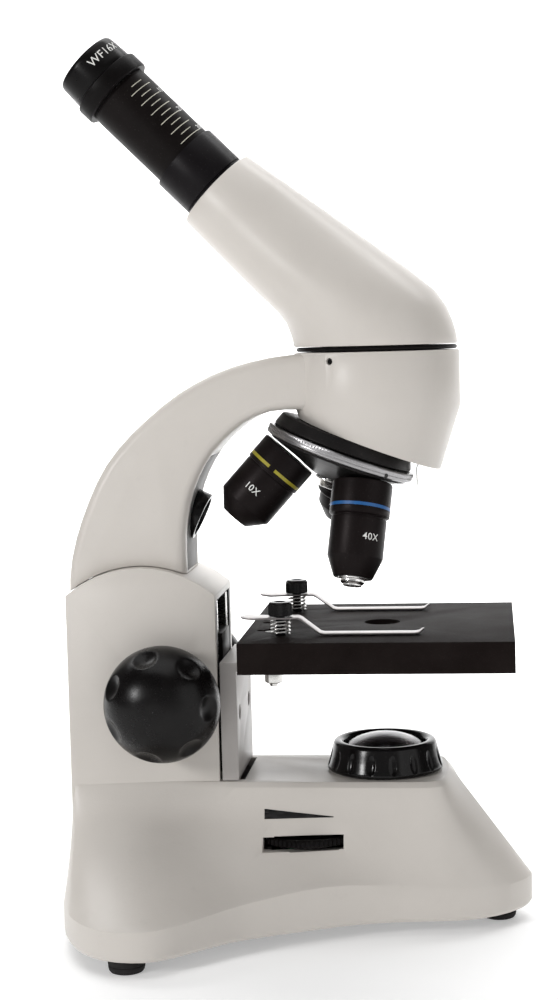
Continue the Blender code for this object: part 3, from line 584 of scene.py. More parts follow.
under = copyNode("underCover", "bottom_cover")
low, high = (Vector(c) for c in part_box("bottom_cover"))
coverScrews = ((-40, 48), (-40, -48), (52, 12), (52, -12))
for k, (x, y) in enumerate(coverScrews):
    pit = lathe("coverPit", [(0, -2), (3.4, -2), (3.4, 0.9), (0, 0.9)], 32)
    stand(pit, Vector((at(x, 0, 0).x, y * mm, low.z)), zAxis)
    bite(under, pit)
    screw = lathe(f"coverScrew{k}", [
        (0, 0.35), (0.4, 0.3), (0.5, 0.1), (2.3, 0.15), (2.8, 0.5), (2.9, 0.85), (0, 0.85)], 28)
    crossSlot(screw, 1.6, -0.3, 0.65)
    stand(screw, Vector((at(x, 0, 0).x, y * mm, low.z)), zAxis)
    finishPiece(screw, steel, "frame", "bright_steel")
vent = {"count": 9, "pitch": 4, "half": 0.7, "rear": -24, "front": -4}
slots = []
for i in range(vent["count"]):
    y = vent["pitch"] * (i - (vent["count"] - 1) / 2) * mm
    slots.append(block("vent",
                       (at(vent["rear"], 0, 0).x, y - vent["half"] * mm, low.z - 1 * mm),
                       (at(vent["front"], 0, 0).x, y + vent["half"] * mm, low.z + 1.2 * mm)))
bite(under, weld("vents", *slots))
finishPiece(under, greyPlastic, "frame", "grey_plastic", "bottom_cover")
print("bottom cover")

# lower light

collar = {"grips": 16, "tilt": 14, "out": 19.6, "level": -46.2, "scoop": (1.15, 1.75, 4.1)}
ring = lathe("lightCollar", [
    (14.4, -50.9), (19.4, -50.9), (19.9, -50.5), (20.0, -49.6), (19.6, -48.4), (18.9, -46.0),
    (18.15, -43.0), (17.75, -41.6), (17.3, -40.95), (16.6, -40.65), (15.6, -40.6), (14.9, -40.9),
    (14.2, -41.6), (13.9, -42.6), (13.75, -45.0), (13.7, -50.0), (14.4, -50.9)], 160)
for i in range(collar["grips"]):
    turn = 2 * math.pi * (i + 0.5) / collar["grips"]
    out = Vector((math.cos(turn), math.sin(turn), 0))
    letGo()
    bpy.ops.mesh.primitive_uv_sphere_add(segments=32, ring_count=20, radius=1, location=(0, 0, 0))
    scoop = newest("scoop")
    lean = Matrix.Rotation(turn, 4, "Z") @ Matrix.Rotation(math.radians(-collar["tilt"]), 4, "Y")
    scoop.matrix_world = (Matrix.Translation((out * collar["out"] + zAxis * collar["level"]) * mm) @ lean
                          @ Matrix.Diagonal([r * mm for r in collar["scoop"]] + [1]))
    bpy.ops.object.transform_apply(location=True, rotation=True, scale=True)
    bite(ring, scoop)
melt(ring, 0.3, 3)
stand(ring, opticAxis, zAxis)
finishPiece(ring, glossBlack, "light_collar", "black_plastic", "illuminator_collar", crease=None)
print("collar")

crown = along([(3, -38.75), (6, -39.3), (9, -40.2), (11.5, -41.3), (12.8, -42.2), (13.1, -42.9)], 4)
dome = lathe("lampWindow", [
    (0, -38.6)] + crown + [(13.1, -44.5), (12.0, -45.6), (12.0, -53.4), (0, -53.4)], 96)
stand(dome, opticAxis, zAxis)
finishPiece(dome, domeGlass, "frame", "lens_glass", "illuminator_lens")
rim = lathe("lampWindowRim", [
    (12.25, -50.7), (12.25, -46.2), (12.7, -45.7), (13.2, -45.7), (13.45, -46.2), (13.45, -50.7),
    (12.25, -50.7)], 96)
stand(rim, opticAxis, zAxis)
finishPiece(rim, satinBlack, "frame", "black_plastic")
diffuser = lathe("lampDiffuser", [(0, -54.6), (11.4, -54.6), (11.4, -55.4), (0, -55.4)], 64)
stand(diffuser, opticAxis, zAxis)
finishPiece(diffuser, whiteInk, "frame", None)
bulb = [(6 * math.sin(a), -66 + 4 * math.cos(a)) for a in (0.3, 0.7, 1.1, 1.5)]
led = lathe("ledBody", [(0, -62)] + bulb
            + [(6.3, -66.6), (3.4, -66.8), (3.4, -80.7), (0, -80.7)], 40)
stand(led, opticAxis, zAxis)
finishPiece(led, ledLens, "frame", "led_yellow", "lower_led")
board = copyNode("lampBoard", "circuit_board")
soften(board, 0.15, 1, 50)
finishPiece(board, boardGreen, "frame", "board_green", "circuit_board")
print("lower light")

wheel = {"teeth": 72, "rim": 18.6, "cut": 0.972}
disc = lathe("dimmerWheel", [
    (2.4, -1.45), (17.9, -1.45), (18.8, -1.25), (19.2, -0.9), (19.2, 0.9), (18.8, 1.25), (17.9, 1.45),
    (16.5, 1.1), (5, 1.1), (4.6, 1.45), (2.4, 1.45), (2.4, -1.45)], wheel["teeth"] * 2)
flute(disc, -1.3, 1.3, wheel["rim"], wheel["cut"])
stand(disc, middleOf("brightness_wheel"), zAxis)
finishPiece(disc, satinBlack, "dimmer_wheel", "black_plastic", "brightness_wheel", crease=28)
print("dimmer wheel")

jack = copyNode("powerSocket", "power_jack")
soften(jack, 0.25, 2, 50)
finishPiece(jack, satinBlack, "frame", "black_plastic", "power_jack")
jackLow, jackHigh = (Vector(c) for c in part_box("power_jack"))
pin = lathe("socketPin", [(0, 0), (0.75, 0), (1.0, 0.4), (1.0, 7.5), (0, 7.5)], 24)
pinFoot = Vector((jackLow.x + 0.9 * mm, (jackLow.y + jackHigh.y) / 2, (jackLow.z + jackHigh.z) / 2))
stand(pin, pinFoot, (1, 0, 0))
finishPiece(pin, steel, "frame", "bright_steel")
rocker = copyNode("lampSwitch", "lamp_switch")
soften(rocker, 0.35, 3, 30)
finishPiece(rocker, glossBlack, "switch_rocker", "black_plastic", "lamp_switch")
print("rear fittings")

# focusing drive

# each dimple is a ball pressed in square to the dome, at (radius, height)
knob = {"dimples": 7, "dimple": 9.5, "depth": 0.95, "press": (17.3, 40.6), "slope": (0.76, 0.65)}
shape = [(0, 50)] + along([
    (3, 49.95), (6, 49.5), (9.4, 48.3), (12.8, 46.4), (15.6, 43.8), (17.8, 40.7), (19.1, 37.6), (19.6, 34.4),
    (19.4, 31.4), (18.4, 28.2), (16.6, 25.2), (14.6, 23.0), (12.2, 21.4)], 3)
shape += [(9, 20.6), (3.4, 20.6), (3.4, 44), (0, 44)]
for word, side in sides:
    ball = lathe("focusKnob" + word.title(), shape, 128)
    for i in range(knob["dimples"]):
        turn = 2 * math.pi * i / knob["dimples"]
        letGo()
        reach = knob["dimple"] - knob["depth"]
        out, lift = (p + n * reach for p, n in zip(knob["press"], knob["slope"]))
        bpy.ops.mesh.primitive_uv_sphere_add(
            segments=48, ring_count=32, radius=knob["dimple"] * mm,
            location=(out * math.cos(turn) * mm, out * math.sin(turn) * mm, lift * mm))
        bite(ball, newest("dimple"))
    melt(ball, 0.42, 8)
    centre = middleOf("focus_knob_" + word)
    stand(ball, Vector((centre.x, 0, centre.z)), (0, side, 0))
    finishPiece(ball, knobBlack, "focus_drive", "black_plastic", "focus_knob_" + word, crease=None)
print("knobs")

pinion = copyNode("drivePinion", "drive_pinion")
finishPiece(pinion, brass, "focus_drive", "brass", "drive_pinion")
shaft = lathe("focusShaft", [
    (0, -44), (2.6, -44), (3.0, -43.6), (3.0, -6), (2.9, -5.8), (2.9, 5.8), (3.0, 6), (3.0, 43.6),
    (2.6, 44), (0, 44)], 40)
stand(shaft, middleOf("focus_shaft"), (0, 1, 0))
finishPiece(shaft, steel, "focus_drive", "bright_steel", "focus_shaft")
for word, side in sides:
    low, high = (Vector(c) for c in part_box("bushing_" + word))
    wide = (high.y - low.y) / mm
    bush = lathe("bushing" + word.title(), [
        (3.3, 0), (4.5, 0), (4.9, 0.4), (4.9, wide - 0.4), (4.5, wide), (3.3, wide), (3.3, 0)], 48)
    stand(bush, Vector(((low.x + high.x) / 2, low.y, (low.z + high.z) / 2)), (0, 1, 0))
    finishPiece(bush, brass, "frame", "brass", "bushing_" + word)
for node, name, mat, slot, body in (("guide_rail_left", "guideRailLeft", steel, "bright_steel", "frame"),
                                    ("guide_rail_right", "guideRailRight", steel, "bright_steel", "frame"),
                                    ("slide_block", "slideBlock", satinBlack, "black_plastic", "stage"),
                                    ("slide_rack", "slideRack", brass, "brass", "stage")):
    piece = copyNode(name, node)
    soften(piece, 0.15 if node == "slide_rack" else 0.35, 2, 40)
    finishPiece(piece, mat, body, slot, node)
print("drive")

# stage

# how far from the stage's rear edge, and how far to each side
clipSpot = (12.7, 28)
boltSpot = (8.8, 17.4)


def beside(spot, side):
    return at(spot[0], side * spot[1], 0)


plate = block("stageTop", stageLow, stageHigh)
holes = [lathe("hole", [(0, -12), (6.15, -12), (6.15, 2), (0, 2)], 64)]
stand(holes[0], opticAxis, zAxis)
for y in (-boltSpot[1], 0, boltSpot[1]):
    holes.append(lathe("hole", [(0, -3), (1.4, -3), (1.4, 2), (0, 2)], 28))
    stand(holes[-1], at(4.8, y, 0), zAxis)
for side in (-1, 1):
    holes.append(lathe("hole", [(0, -12), (1.8, -12), (1.8, 2), (0, 2)], 28))
    stand(holes[-1], beside(clipSpot, side), zAxis)
    holes.append(lathe("hole", [(0, -12), (1.8, -12), (1.8, -2.7), (3.3, -0.6), (3.3, 2), (0, 2)], 36))
    stand(holes[-1], beside(boltSpot, side), zAxis)
bite(plate, *holes)
soften(plate, 0.55, 3, 40)
finishPiece(plate, stageBlack, "stage", "stage_black", "stage_plate", crease=30)
print("stage")

for word, side in sides:
    bolt = lathe("stageBolt" + word.title(), [
        (0, -0.4), (2.6, -0.4), (2.9, -0.6), (1.4, -2.3), (1.4, -18.8), (1.1, -19.0), (0, -19)], 36)
    crossSlot(bolt, 1.7, -1.2, 1.0)
    stand(bolt, beside(boltSpot, side), zAxis)
    finishPiece(bolt, steel, "stage", "bright_steel", "stage_bolt_" + word)
    nut = lathe("stageBolt" + word.title() + "Nut", [
        (1.4, -17.9), (2.6, -17.9), (3.1, -17.5), (3.1, -14.4), (2.6, -13.95), (1.4, -13.95),
        (1.4, -17.9)], 6)
    soften(nut, 0.12, 2, 30)
    stand(nut, beside(boltSpot, side), zAxis)
    finishPiece(nut, steel, "stage", "bright_steel")
print("stage bolts")

bracket = copyNode("stageBracket", "stage_bracket")
soften(bracket, 0.45, 3, 45)
finishPiece(bracket, platePaint, "stage", "bracket_paint", "stage_bracket")
for word, side in sides:
    screw = lathe("bracketScrew" + word.title(), [
        (0, -5.5), (0.9, -5.5), (1.3, -4.9), (2.1, -4.9), (2.4, -5.2), (2.4, -6.9), (1.3, -6.9),
        (1.3, -9.3), (0, -9.3)], 36)
    bite(screw, lathe("hex", [(0, -6.4), (1.25, -6.4), (1.25, -4), (0, -4)], 6))
    stand(screw, at(0, side * 12.4, -28.9), (1, 0, 0))
    finishPiece(screw, steel, "stage", "bright_steel", "bracket_screw_" + word)
print("bracket")

# clips

clip = {"tail": 6.05, "flat": 5.75, "thick": 0.6, "foot": 0.3}
for word, side in sides:
    under = [(-0.7, clip["tail"]), (4, clip["flat"]), (18.6, clip["flat"]), (19.8, 5.3), (26.0, 0.6),
             (27.2, clip["foot"]), (57.4, clip["foot"]), (58.6, 0.5), (60.4, 1.7)]
    over = [(x, z + clip["thick"]) for x, z in under]
    strip = slab("clip" + word.title(), under + over[::-1], -4.8, 4.8)
    # cut to its outline seen from above: a round paddle, a waist and a narrow finger
    plan = []
    for i in range(13):
        turn = math.pi * (0.5 + i / 12)
        plan.append((3.9 + 4.6 * math.cos(turn), 4.6 * math.sin(turn)))
    plan += [(6.4, -4.1), (8.6, -3.6), (clipSpot[0], -3.6), (17, -3.4), (26, -3.0), (57.6, -2.8)]
    for i in range(9):
        turn = math.pi * (-0.5 + i / 8)
        plan.append((57.6 + 2.8 * math.cos(turn), 2.8 * math.sin(turn)))
    plan += [(26, 3.0), (17, 3.4), (clipSpot[0], 3.6), (8.6, 3.6), (6.4, 4.1)]
    form = slab("clipForm", plan, -2, 9)
    form.rotation_euler = (math.pi / 2, 0, 0)
    pick(form)
    bpy.ops.object.transform_apply(location=True, rotation=True, scale=True)
    bite(strip, form, operation="INTERSECT")
    eye = lathe("clipEye", [(0, 3), (2.1, 3), (2.1, 9), (0, 9)], 40)
    stand(eye, Vector((clipSpot[0] * mm, 0, 0)), zAxis)
    bite(strip, eye)
    soften(strip, 0.12, 2, 40)
    stand(strip, at(0, side * clipSpot[1], 0), zAxis)
    finishPiece(strip, clipSteel, "clip_arm_" + word, "bright_steel", "clip_" + word, crease=40)

    screw = {"top": 11.35, "knurls": 56, "socket": 2.0}
    seatAt = clip["flat"] + clip["thick"] + 0.3
    top = screw["top"]
    cap = lathe("clipScrew" + word.title(), [
        (1.5, seatAt), (3.7, seatAt), (3.95, seatAt + 0.25), (3.98, seatAt + 0.5), (3.98, top - 1.1),
        (3.85, top - 0.6), (3.5, top - 0.1), (3.2, top), (2.3, top), (0, top)], screw["knurls"] * 2)
    flute(cap, seatAt + 0.4, top - 0.9, 3.9, 0.965)
    shank = lathe("shank", [
        (0, -12.3), (1.2, -12.4), (1.5, -12.1), (1.5, seatAt + 0.2), (0, seatAt + 0.2)], 28)
    nut = lathe("nut", [
        (1.45, -12.4), (2.7, -12.4), (3.1, -12.1), (3.1, -10.8), (2.8, -10.6), (1.45, -10.6),
        (1.45, -12.4)], 6)
    key = lathe("socket", [
        (0, top - 2.6), (screw["socket"], top - 2.6), (screw["socket"], top + 1), (0, top + 1)], 6)
    editing(cap)
    bpy.ops.mesh.select_non_manifold()
    bpy.ops.mesh.edge_face_add()
    done()
    bite(cap, key)
    cap = weld("clipScrew" + word.title(), cap, shank, nut)
    stand(cap, beside(clipSpot, side), zAxis)
    finishPiece(cap, glossBlack, "clip_pivot_" + word, "black_plastic", "clip_screw_" + word, crease=30)

    coil = {"radius": 3.05, "wire": 0.34, "low": 0.4, "high": 5.25, "turns": 4}
    letGo()
    bpy.ops.mesh.primitive_circle_add(vertices=12, radius=coil["wire"] * mm, location=(0, 0, 0))
    spring = newest("clipSpring" + word.title())
    spring.rotation_euler = (math.pi / 2, 0, 0)
    spring.location = (coil["radius"] * mm, 0, coil["low"] * mm)
    bpy.ops.object.transform_apply(location=True, rotation=True, scale=True)
    winding = spring.modifiers.new("winding", "SCREW")
    winding.angle = 2 * math.pi * coil["turns"]
    winding.screw_offset = (coil["high"] - coil["low"]) * mm
    winding.steps = 32 * coil["turns"]
    winding.render_steps = winding.steps
    winding.use_smooth_shade = True
    bpy.ops.object.modifier_apply(modifier=winding.name)
    editing(spring, "DESELECT")
    bpy.ops.mesh.select_non_manifold()
    bpy.ops.mesh.edge_face_add()
    bpy.ops.mesh.select_all(action="SELECT")
    bpy.ops.mesh.normals_make_consistent(inside=False)
    done()
    stand(spring, beside(clipSpot, side), zAxis)
    finishPiece(spring, steel, "clip_pivot_" + word, "bright_steel", "clip_spring_" + word, crease=50)
print("clips")

# arm

arm = copyNode("armCasting", "arm_casting")
soften(arm, 0.4, 2, 40)
finishPiece(arm, paint, "frame", "pale_paint", "arm_casting", crease=36)
lampCover = copyNode("armLampCover", "upper_lamp_cover")
soften(lampCover, 0.25, 2, 45)
finishPiece(lampCover, greyPlastic, "frame", "grey_plastic", "upper_lamp_cover")
hood = copyNode("armLampHood", "upper_lamp_hood")
soften(hood, 0.3, 2, 45)
finishPiece(hood, glossBlack, "frame", "black_plastic", "upper_lamp_hood")
lens = copyNode("armLampLens", "upper_lamp_lens")
finishPiece(lens, clearGlass, "frame", "lens_glass", "upper_lamp_lens")
# the steel lock screw sits in a recess and is made black: painted shade of the recess
lock = copyNode("headLockScrew", "head_lock_screw")
finishPiece(lock, satinBlack, "frame", "bright_steel", "head_lock_screw")
seat = lathe("headSeat", [
    (11, 93.6), (26.8, 93.6), (27.3, 93.9), (27.4, 94.3), (27.2, 94.8), (26.6, 95), (11, 95),
    (11, 93.6)], 128)
stand(seat, opticAxis, zAxis)
finishPiece(seat, satinBlack, "frame", "black_plastic", "head_seat_ring")
print("arm")

# nosepiece

mount = lathe("nosepieceMount", [
    (3.4, 68.6), (24.5, 68.6), (24.7, 68.9), (24.65, 69.3), (23.4, 72.5), (23.1, 72.7), (3.4, 72.7),
    (3.4, 68.6)], 128)
stand(mount, turretFoot, turretUp)
bore = lathe("bore", [(0, 40), (6.5, 40), (6.5, 80), (0, 80)], 48)
stand(bore, opticAxis, zAxis)
bite(mount, bore)
finishPiece(mount, turretAnodised, "frame", "black_anodised", "nosepiece_mount")

ring = lathe("turretGrip", [
    (24.6, 64.9), (25.7, 64.9), (26.25, 65.25), (26.35, 65.6), (26.35, 66.2), (26.2, 66.35), (26.3, 66.6),
    (26.3, 67.6), (26.0, 68.0), (25.6, 68.1), (24.6, 68.1), (24.6, 64.9)], 300)
flute(ring, 66.5, 67.7, 26.28, 0.996)
stand(ring, turretFoot, turretUp)
finishPiece(ring, gripMetal, "turret", "bright_steel", "turret_grip_ring", crease=20)
# a black disc over each objective stands for a click notch: painted shade, no notch is cut
clickTurns = (-47, 73, 193)
for k, turn in enumerate(clickTurns):
    out = Matrix.Rotation(math.radians(turn), 3, turretUp) @ Vector((turretUp.z, 0, -turretUp.x))
    notchShade = lathe(f"clickNotchShade{k}", [(0, -0.2), (0.8, -0.2), (0.8, 0.06), (0, 0.06)], 20)
    stand(notchShade, turretFoot + turretUp * 65.9 * mm + out * 26.3 * mm, out)
    finishPiece(notchShade, blackInk, "turret", None)

# the shell's lower face is a cone, square to the barrels a seat's distance below the apex
seating = {"seat": 45, "inner": 6.5, "outer": 24.3}
slope = math.tan(math.acos(turretUp.z))
shellFace = turretReach - seating["seat"] * turretUp.z
innerFace, outerFace = (shellFace + (seating[k] - seating["seat"] * turretUp.x) * slope + 0.3
                        for k in ("inner", "outer"))
shell = lathe("turretShell", [
    (seating["outer"], 68.2), (24.35, outerFace + 0.3), (24.2, outerFace), (seating["inner"], innerFace),
    (3.4, innerFace), (3.4, 65.5), (20, 65.5), (20, 68.2), (seating["outer"], 68.2)], 128)
noseAxes = {}
borings = []
for name, turn in (("40x", 0), ("10x", -120), ("4x", 120)):
    noseAxes[name] = Matrix.Rotation(math.radians(turn), 3, turretUp) @ noseUp
    hole = lathe("hole", [(0, -50), (6.0, -50), (6.0, -30), (0, -30)], 48)
    stand(hole, apex, noseAxes[name])
    borings.append(hole)
stand(shell, turretFoot, turretUp)
bite(shell, *borings)
finishPiece(shell, turretAnodised, "turret", "black_anodised", "turret_shell")
pivot = lathe("turretPivot", [
    (0, 72), (3.1, 72), (3.1, 56), (5.4, 56), (5.4, innerFace - 0.7), (4.9, innerFace - 1.0), (3.6, 53.6),
    (3.2, 53.4), (1.6, 53.4), (1.6, 54.4), (0, 54.4)], 48)
stand(pivot, turretFoot, turretUp)
finishPiece(pivot, steel, "turret", "bright_steel", "turret_pivot_screw")
print("nosepiece")

barrels = {
    "40x": {"band": (-54.5, -53.4, 10.22), "ink": blueInk, "gap": 0, "profile": [
        (6.4, -45.3), (9.9, -45.3), (10.15, -45.6), (10.2, -46.0), (10.2, -53.3), (10.12, -53.4),
        (10.12, -54.5), (10.2, -54.6), (10.2, -56.4), (10.0, -56.75), (9.5, -56.9), (9.15, -57.2),
        (9.15, -57.6), (9.4, -57.8), (9.4, -70.8), (9.25, -71.15), (6.7, -77.5), (6.45, -77.8),
        (5.2, -77.8), (5.2, -66), (6.4, -60), (6.4, -45.3)]},
    "10x": {"band": (-53.3, -52.2, 10.37), "ink": yellowInk, "gap": 13, "profile": [
        (6.4, -45.3), (10.0, -45.3), (10.3, -45.6), (10.35, -46.0), (10.35, -52.1), (10.28, -52.2),
        (10.28, -53.3), (10.35, -53.4), (10.35, -54.3), (10.2, -54.6), (9.9, -54.75), (9.85, -55.0),
        (10.05, -55.3), (10.05, -68.4), (9.9, -68.75), (5.25, -73.95), (4.9, -74.2), (3.6, -74.2),
        (3.4, -73.8), (3.2, -72), (6.4, -66), (6.4, -45.3)]},
    "4x": {"profile": [
        (6.4, -45.3), (9.9, -45.3), (10.15, -45.6), (10.2, -46.0), (10.2, -51.3), (10.12, -51.4),
        (10.12, -52.3), (10.2, -52.4), (10.2, -53.2), (10.0, -53.5), (9.0, -54.2), (9.0, -58.3),
        (8.85, -58.6), (6.05, -63.25), (5.8, -63.5), (4.7, -63.5), (4.4, -63.2), (4.4, -61.5), (6.4, -58),
        (6.4, -45.3)]},
}
for name, barrel in barrels.items():
    axis = noseAxes[name]
    finish = turnedMaterial("barrel" + name, (0.0085, 0.0062, 0.0062), 0.30, axis, apex, 0.3, 2600, 0.12)
    body = lathe("objective" + name, barrel["profile"], 128)
    stand(body, apex, axis)
    finishPiece(body, finish, "turret", "black_anodised", f"objective_{name}_body", crease=30)
    if "band" not in barrel:
        continue
    low, high, radius = barrel["band"]
    strip = [(radius - 0.06, low), (radius, low), (radius, high), (radius - 0.06, high), (radius - 0.06, low)]
    if barrel["gap"]:
        band = lathe("band" + name, strip, 120, 360 - barrel["gap"])
        # the band starts just past its gap, seen from the front
        start = Matrix.Rotation(math.radians(-18), 3, axis) @ towardsFront(axis)
        stand(band, apex, axis, Matrix.Rotation(math.radians(-90 + barrel["gap"] / 2), 3, axis) @ start)
    else:
        band = lathe("band" + name, strip, 128)
        stand(band, apex, axis)
    finishPiece(band, barrel["ink"], "turret", None, crease=30)
print("barrels")

marks = {
    "40x": {"size": 3.3, "height": -64.6, "turn": -32, "radius": 9.44},
    "10x": {"size": 3.25, "height": -62.3, "turn": 9, "radius": 10.09},
    "4x": {"size": 2.6, "height": -56.3, "turn": 20, "radius": 9.04},
}
for name, mark in marks.items():
    axis = noseAxes[name]
    text = lettering("mark" + name, name.upper(), mark["size"], 1.08)
    wrapRound(text, mark["radius"])
    facing = Matrix.Rotation(math.radians(-mark["turn"]), 3, axis) @ towardsFront(axis)
    stand(text, apex + axis * mark["height"] * mm, axis, facing)
    finishPiece(text, whiteInk, "turret", None, crease=None)

nose = lathe("noseSleeve40x", [
    (4.0, -66.4), (4.9, -66.4), (5.0, -66.6), (5.0, -77.9), (4.85, -78.2), (4.3, -78.4), (4.2, -78.7),
    (4.2, -79.2), (4.0, -79.45), (3.3, -80.0), (3.2, -80.5), (2.9, -80.6), (1.9, -80.6), (1.7, -80.3),
    (1.7, -79.6), (4.0, -74), (4.0, -66.4)], 96)
stand(nose, apex, noseAxes["40x"])
noseMetal = turnedMaterial("noseMetal", (0.68, 0.67, 0.66), 0.14, noseAxes["40x"], apex, 1.0, 1800, 0.05)
finishPiece(nose, noseMetal, "spring_nose", "bright_steel", "objective_40x_tip", crease=25)
frontLenses = {
    "40x": {"body": "spring_nose",
            "profile": [(0, -78.6), (1.4, -78.9), (1.5, -79.6), (1.5, -80.2), (0, -80.4)]},
    "10x": {"body": "turret",
            "profile": [(0, -71.2), (2.9, -71.8), (3.0, -72.3), (2.9, -73.2), (1.6, -73.35), (0, -73.4)]},
    "4x": {"body": "turret",
           "profile": [(0, -60.9), (4.1, -61.5), (4.15, -62.0), (4.1, -62.6), (2.2, -62.85), (0, -62.9)]},
}
for name, front in frontLenses.items():
    glass = lathe("frontLens" + name, front["profile"], 64)
    stand(glass, apex, noseAxes[name])
    finishPiece(glass, coatedGlass, front["body"], "lens_glass", f"objective_{name}_lens", crease=40)
spring = copyNode("detentLeaf", "detent_spring")
soften(spring, 0.12, 2, 40)
finishPiece(spring, steel, "frame", "bright_steel", "detent_spring")
print("objectives")

# head and eyepiece

head = copyNode("headShell", "head_housing")
soften(head, 0.4, 2, 42)
finishPiece(head, paint, "head", "pale_paint", "head_housing", crease=36)
prism = copyNode("headPrism", "prism")
soften(prism, 0.2, 1, 40)
finishPiece(prism, clearGlass, "head", "lens_glass", "prism")

sleeve = lathe("tubeSleeve", [
    (11.8, 96), (12.05, 96), (12.05, 113.2), (12.6, 113.3), (12.6, 127.0), (12.45, 127.3), (11.9, 127.4),
    (11.7, 127.2), (11.8, 96)], 128)
stand(sleeve, tubeFoot, tubeUp)
finishPiece(sleeve, sleeveAnodised, "head", "black_anodised", "tube_sleeve", crease=30)
tube = lathe("drawTube", [
    (10.2, 97), (11.3, 97), (11.5, 97.3), (11.5, 157.6), (11.3, 157.9), (11.3, 158.3), (10.2, 158.3),
    (10.2, 97)], 128)
stand(tube, tubeFoot, tubeUp)
finishPiece(tube, opticAnodised, "eyepiece", "black_anodised", "draw_tube", crease=30)

scale = {"count": 12, "first": 154.75, "step": 2.31, "short": 25.2, "long": 50.0, "middle": 50.0,
         "width": 0.26, "tube": 11.5, "ink": 11.53}
upper = Vector((tubeUp.z, 0, -tubeUp.x))


def aroundTube(turn):
    return upper * math.cos(math.radians(turn)) + Vector((0, -math.sin(math.radians(turn)), 0))


ticks = []
for i in range(scale["count"]):
    sweep = scale["long"] if i % 2 else scale["short"]
    letGo()
    span = math.radians(sweep) * scale["tube"]
    bpy.ops.mesh.primitive_grid_add(x_subdivisions=14, y_subdivisions=1, size=1)
    tick = newest("tick")
    tick.rotation_euler = (math.pi / 2, 0, 0)
    tick.scale = (span * mm, scale["width"] * mm, 1)
    bpy.ops.object.transform_apply(location=True, rotation=True, scale=True)
    wrapRound(tick, scale["ink"])
    height = scale["first"] - i * scale["step"]
    stand(tick, tubeFoot + tubeUp * height * mm, tubeUp, aroundTube(scale["middle"]))
    ticks.append(tick)
ticks = weld("tubeScale", *ticks)
finishPiece(ticks, inkMaterial("scaleInk", (0.62, 0.60, 0.50)), "eyepiece", None, crease=None)
for words, height in (("10", 148.4), ("20", 139.2), ("30", 130.1)):
    digits = lettering("scaleDigits" + words, words, 2.9)
    wrapRound(digits, scale["ink"])
    stand(digits, tubeFoot + tubeUp * height * mm, tubeUp, aroundTube(18))
    finishPiece(digits, whiteInk, "eyepiece", None, crease=None)

collarRing = lathe("eyepieceFlange", [
    (9.5, 158.6), (12.9, 158.6), (13.2, 158.8), (13.35, 159.2), (13.35, 163.9), (13.2, 164.4),
    (12.9, 164.6), (9.5, 164.6), (9.5, 158.6)], 128)
stand(collarRing, tubeFoot, tubeUp)
finishPiece(collarRing, satinBlack, "eyepiece", "black_plastic", "eyepiece_ring", crease=30)
capPiece = lathe("eyepieceCap", [
    (8.8, 164.9), (12.1, 164.9), (12.2, 165.2), (12.15, 166.5), (11.85, 172.6), (11.65, 173.7),
    (11.2, 174.3), (10.6, 174.5), (8.6, 174.5), (7.9, 174.2), (7.6, 173.6), (7.6, 172.3), (8.8, 171.5),
    (8.8, 164.9)], 128)
stand(capPiece, tubeFoot, tubeUp)
capBlack = plasticMaterial("capBlack", (0.003, 0.0025, 0.0026), 0.24, 1500, 0.08, 0.0, 0.14)
finishPiece(capPiece, capBlack, "eyepiece", "black_plastic", "eyepiece_cap", crease=30)
power = lettering("capMark", "WF16X", 4.3, 1.04, 0.0)
wrapRound(power, 12.05)
stand(power, tubeFoot + tubeUp * 169.7 * mm, tubeUp, aroundTube(52))
finishPiece(power, whiteInk, "eyepiece", None, crease=None)
eyeShape = [(0, 171.4)] + along([(3, 171.2), (6, 170.4), (8.3, 169.3)], 4) + [(8.4, 168), (0, 168)]
fieldShape = ([(0, 152)] + along([(4, 151.7), (7.5, 150.9), (9.8, 150)], 3)
              + [(9.8, 148), (5, 147.3), (0, 147)])
for node, name, profile in (("eye_lens", "eyeLens", eyeShape), ("field_lens", "fieldLens", fieldShape)):
    glass = lathe(name, profile, 96)
    stand(glass, tubeFoot, tubeUp)
    finishPiece(glass, coatedGlass, "eyepiece", "lens_glass", node, crease=40)
print("head and eyepiece")

# room, lights and camera

room = {"floor": 6, "wall": 4, "cove": 800}
letGo()
bpy.ops.mesh.primitive_plane_add(size=room["floor"], location=(0, 0, 0))
floor = newest("floor")
floorMat, floorWhere, floorPlug = startMaterial("floorPaper", Specular_IOR_Level=0.2, Emission_Strength=0.32,
                                                Emission_Color=rgb(1, 1, 1))
floorTone = floorWhere.noise(6, 3.0, 0.5)
floorPlug("Base Color", floorTone.ramp(0.3, 0.7).tint(rgb(0.80, 0.80, 0.80), rgb(0.78, 0.78, 0.78)))
floorPlug("Roughness", floorTone * 0.1 + 0.7)
floor.data.materials.append(floorMat)
editing(floor, "DESELECT")
bm = bmesh.from_edit_mesh(floor.data)
for e in bm.edges:
    e.select = all(v.co.y > 0 for v in e.verts)
bm.select_flush_mode()
bmesh.update_edit_mesh(floor.data)
bpy.ops.mesh.extrude_region_move(TRANSFORM_OT_translate={"value": (0, 0, room["wall"])})
done()
soften(floor, room["cove"], 16, 60)
pick(floor)
bpy.ops.object.shade_smooth()

world = bpy.data.worlds.new("studio")
bpy.context.scene.world = world
world.use_nodes = True
world.node_tree.nodes["Background"].inputs["Color"].default_value = (1.0, 0.995, 0.985, 1.0)
world.node_tree.nodes["Background"].inputs["Strength"].default_value = 0.08

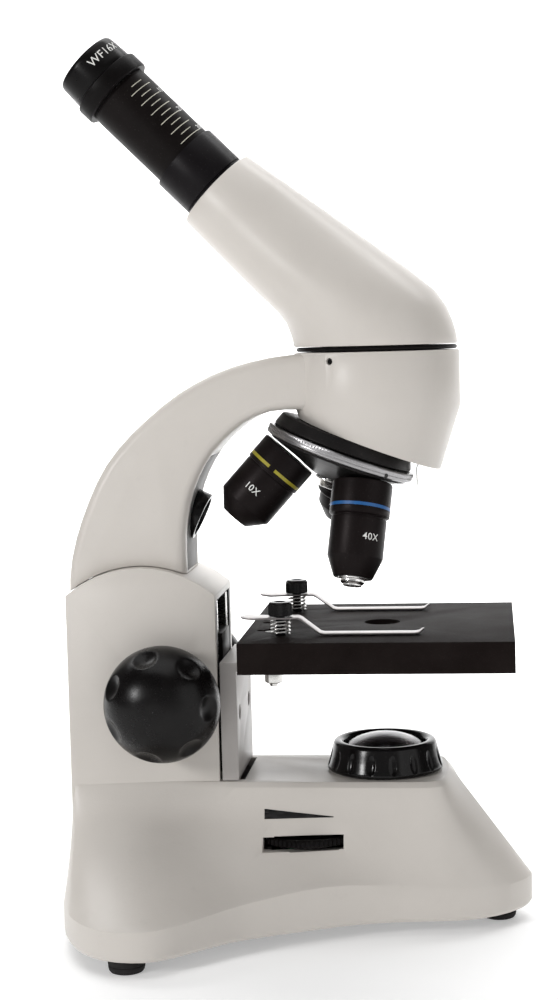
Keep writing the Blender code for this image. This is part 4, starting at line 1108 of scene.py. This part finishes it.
lamps = {
    "keyLeft": {"at": (-0.95, -0.95, 0.50), "to": (0, 0, 0.10), "size": (0.18, 0.24), "power": 7.2},
    "fillRight": {"at": (1.05, -0.70, 0.38), "to": (0, 0, 0.12), "size": (1.0, 1.0), "power": 3.4},
    "topSoft": {"at": (-0.05, -0.15, 1.20), "to": (0, 0, 0.15), "size": (0.9, 0.9), "power": 4.6},
    "frontSoft": {"at": (0.1, -1.5, 0.35), "to": (0, 0, 0.10), "size": (2.4, 1.2), "power": 3.0},
    "wallWash": {"at": (0.0, 0.75, 1.5), "to": (0, 3.2, 0.5), "size": (3.0, 0.8), "power": 115.0},
    "floorWash": {"at": (0.0, 0.55, 1.1), "to": (0, 1.0, 0.0), "size": (2.2, 0.5), "power": 22.0},
}
for name, lamp in lamps.items():
    letGo()
    bpy.ops.object.light_add(type="AREA", location=lamp["at"])
    light = bpy.context.object
    light.name = name
    light.data.shape = "RECTANGLE"
    light.data.size, light.data.size_y = lamp["size"]
    light.data.energy = lamp["power"]
    light.rotation_euler = (Vector(lamp["to"]) - light.location).to_track_quat("-Z", "Y").to_euler()

view = {"at": (0.06798, -0.65915, 0.20355), "yaw": -6.301, "pitch": 4.929, "roll": -1.469, "lens": 69.38}
yaw, pitch, roll = (math.radians(view[k]) for k in ("yaw", "pitch", "roll"))
forward = Vector((math.sin(yaw) * math.cos(pitch), math.cos(yaw) * math.cos(pitch), -math.sin(pitch)))
level = Vector((math.cos(yaw), -math.sin(yaw), 0))
rise = level.cross(forward)
right = level * math.cos(roll) + rise * math.sin(roll)
up = -level * math.sin(roll) + rise * math.cos(roll)
letGo()
bpy.ops.object.camera_add(location=view["at"])
camera = bpy.context.object
camera.name = "photoCamera"
camera.matrix_world = Matrix.Translation(view["at"]) @ Matrix((right, up, -forward)).transposed().to_4x4()
camera.data.lens = view["lens"]
camera.data.sensor_width = 36
camera.data.sensor_fit = "AUTO"
camera.data.clip_start = 0.01
bpy.context.scene.camera = camera
bpy.context.scene.view_settings.view_transform = "Standard"
print("lights and camera")
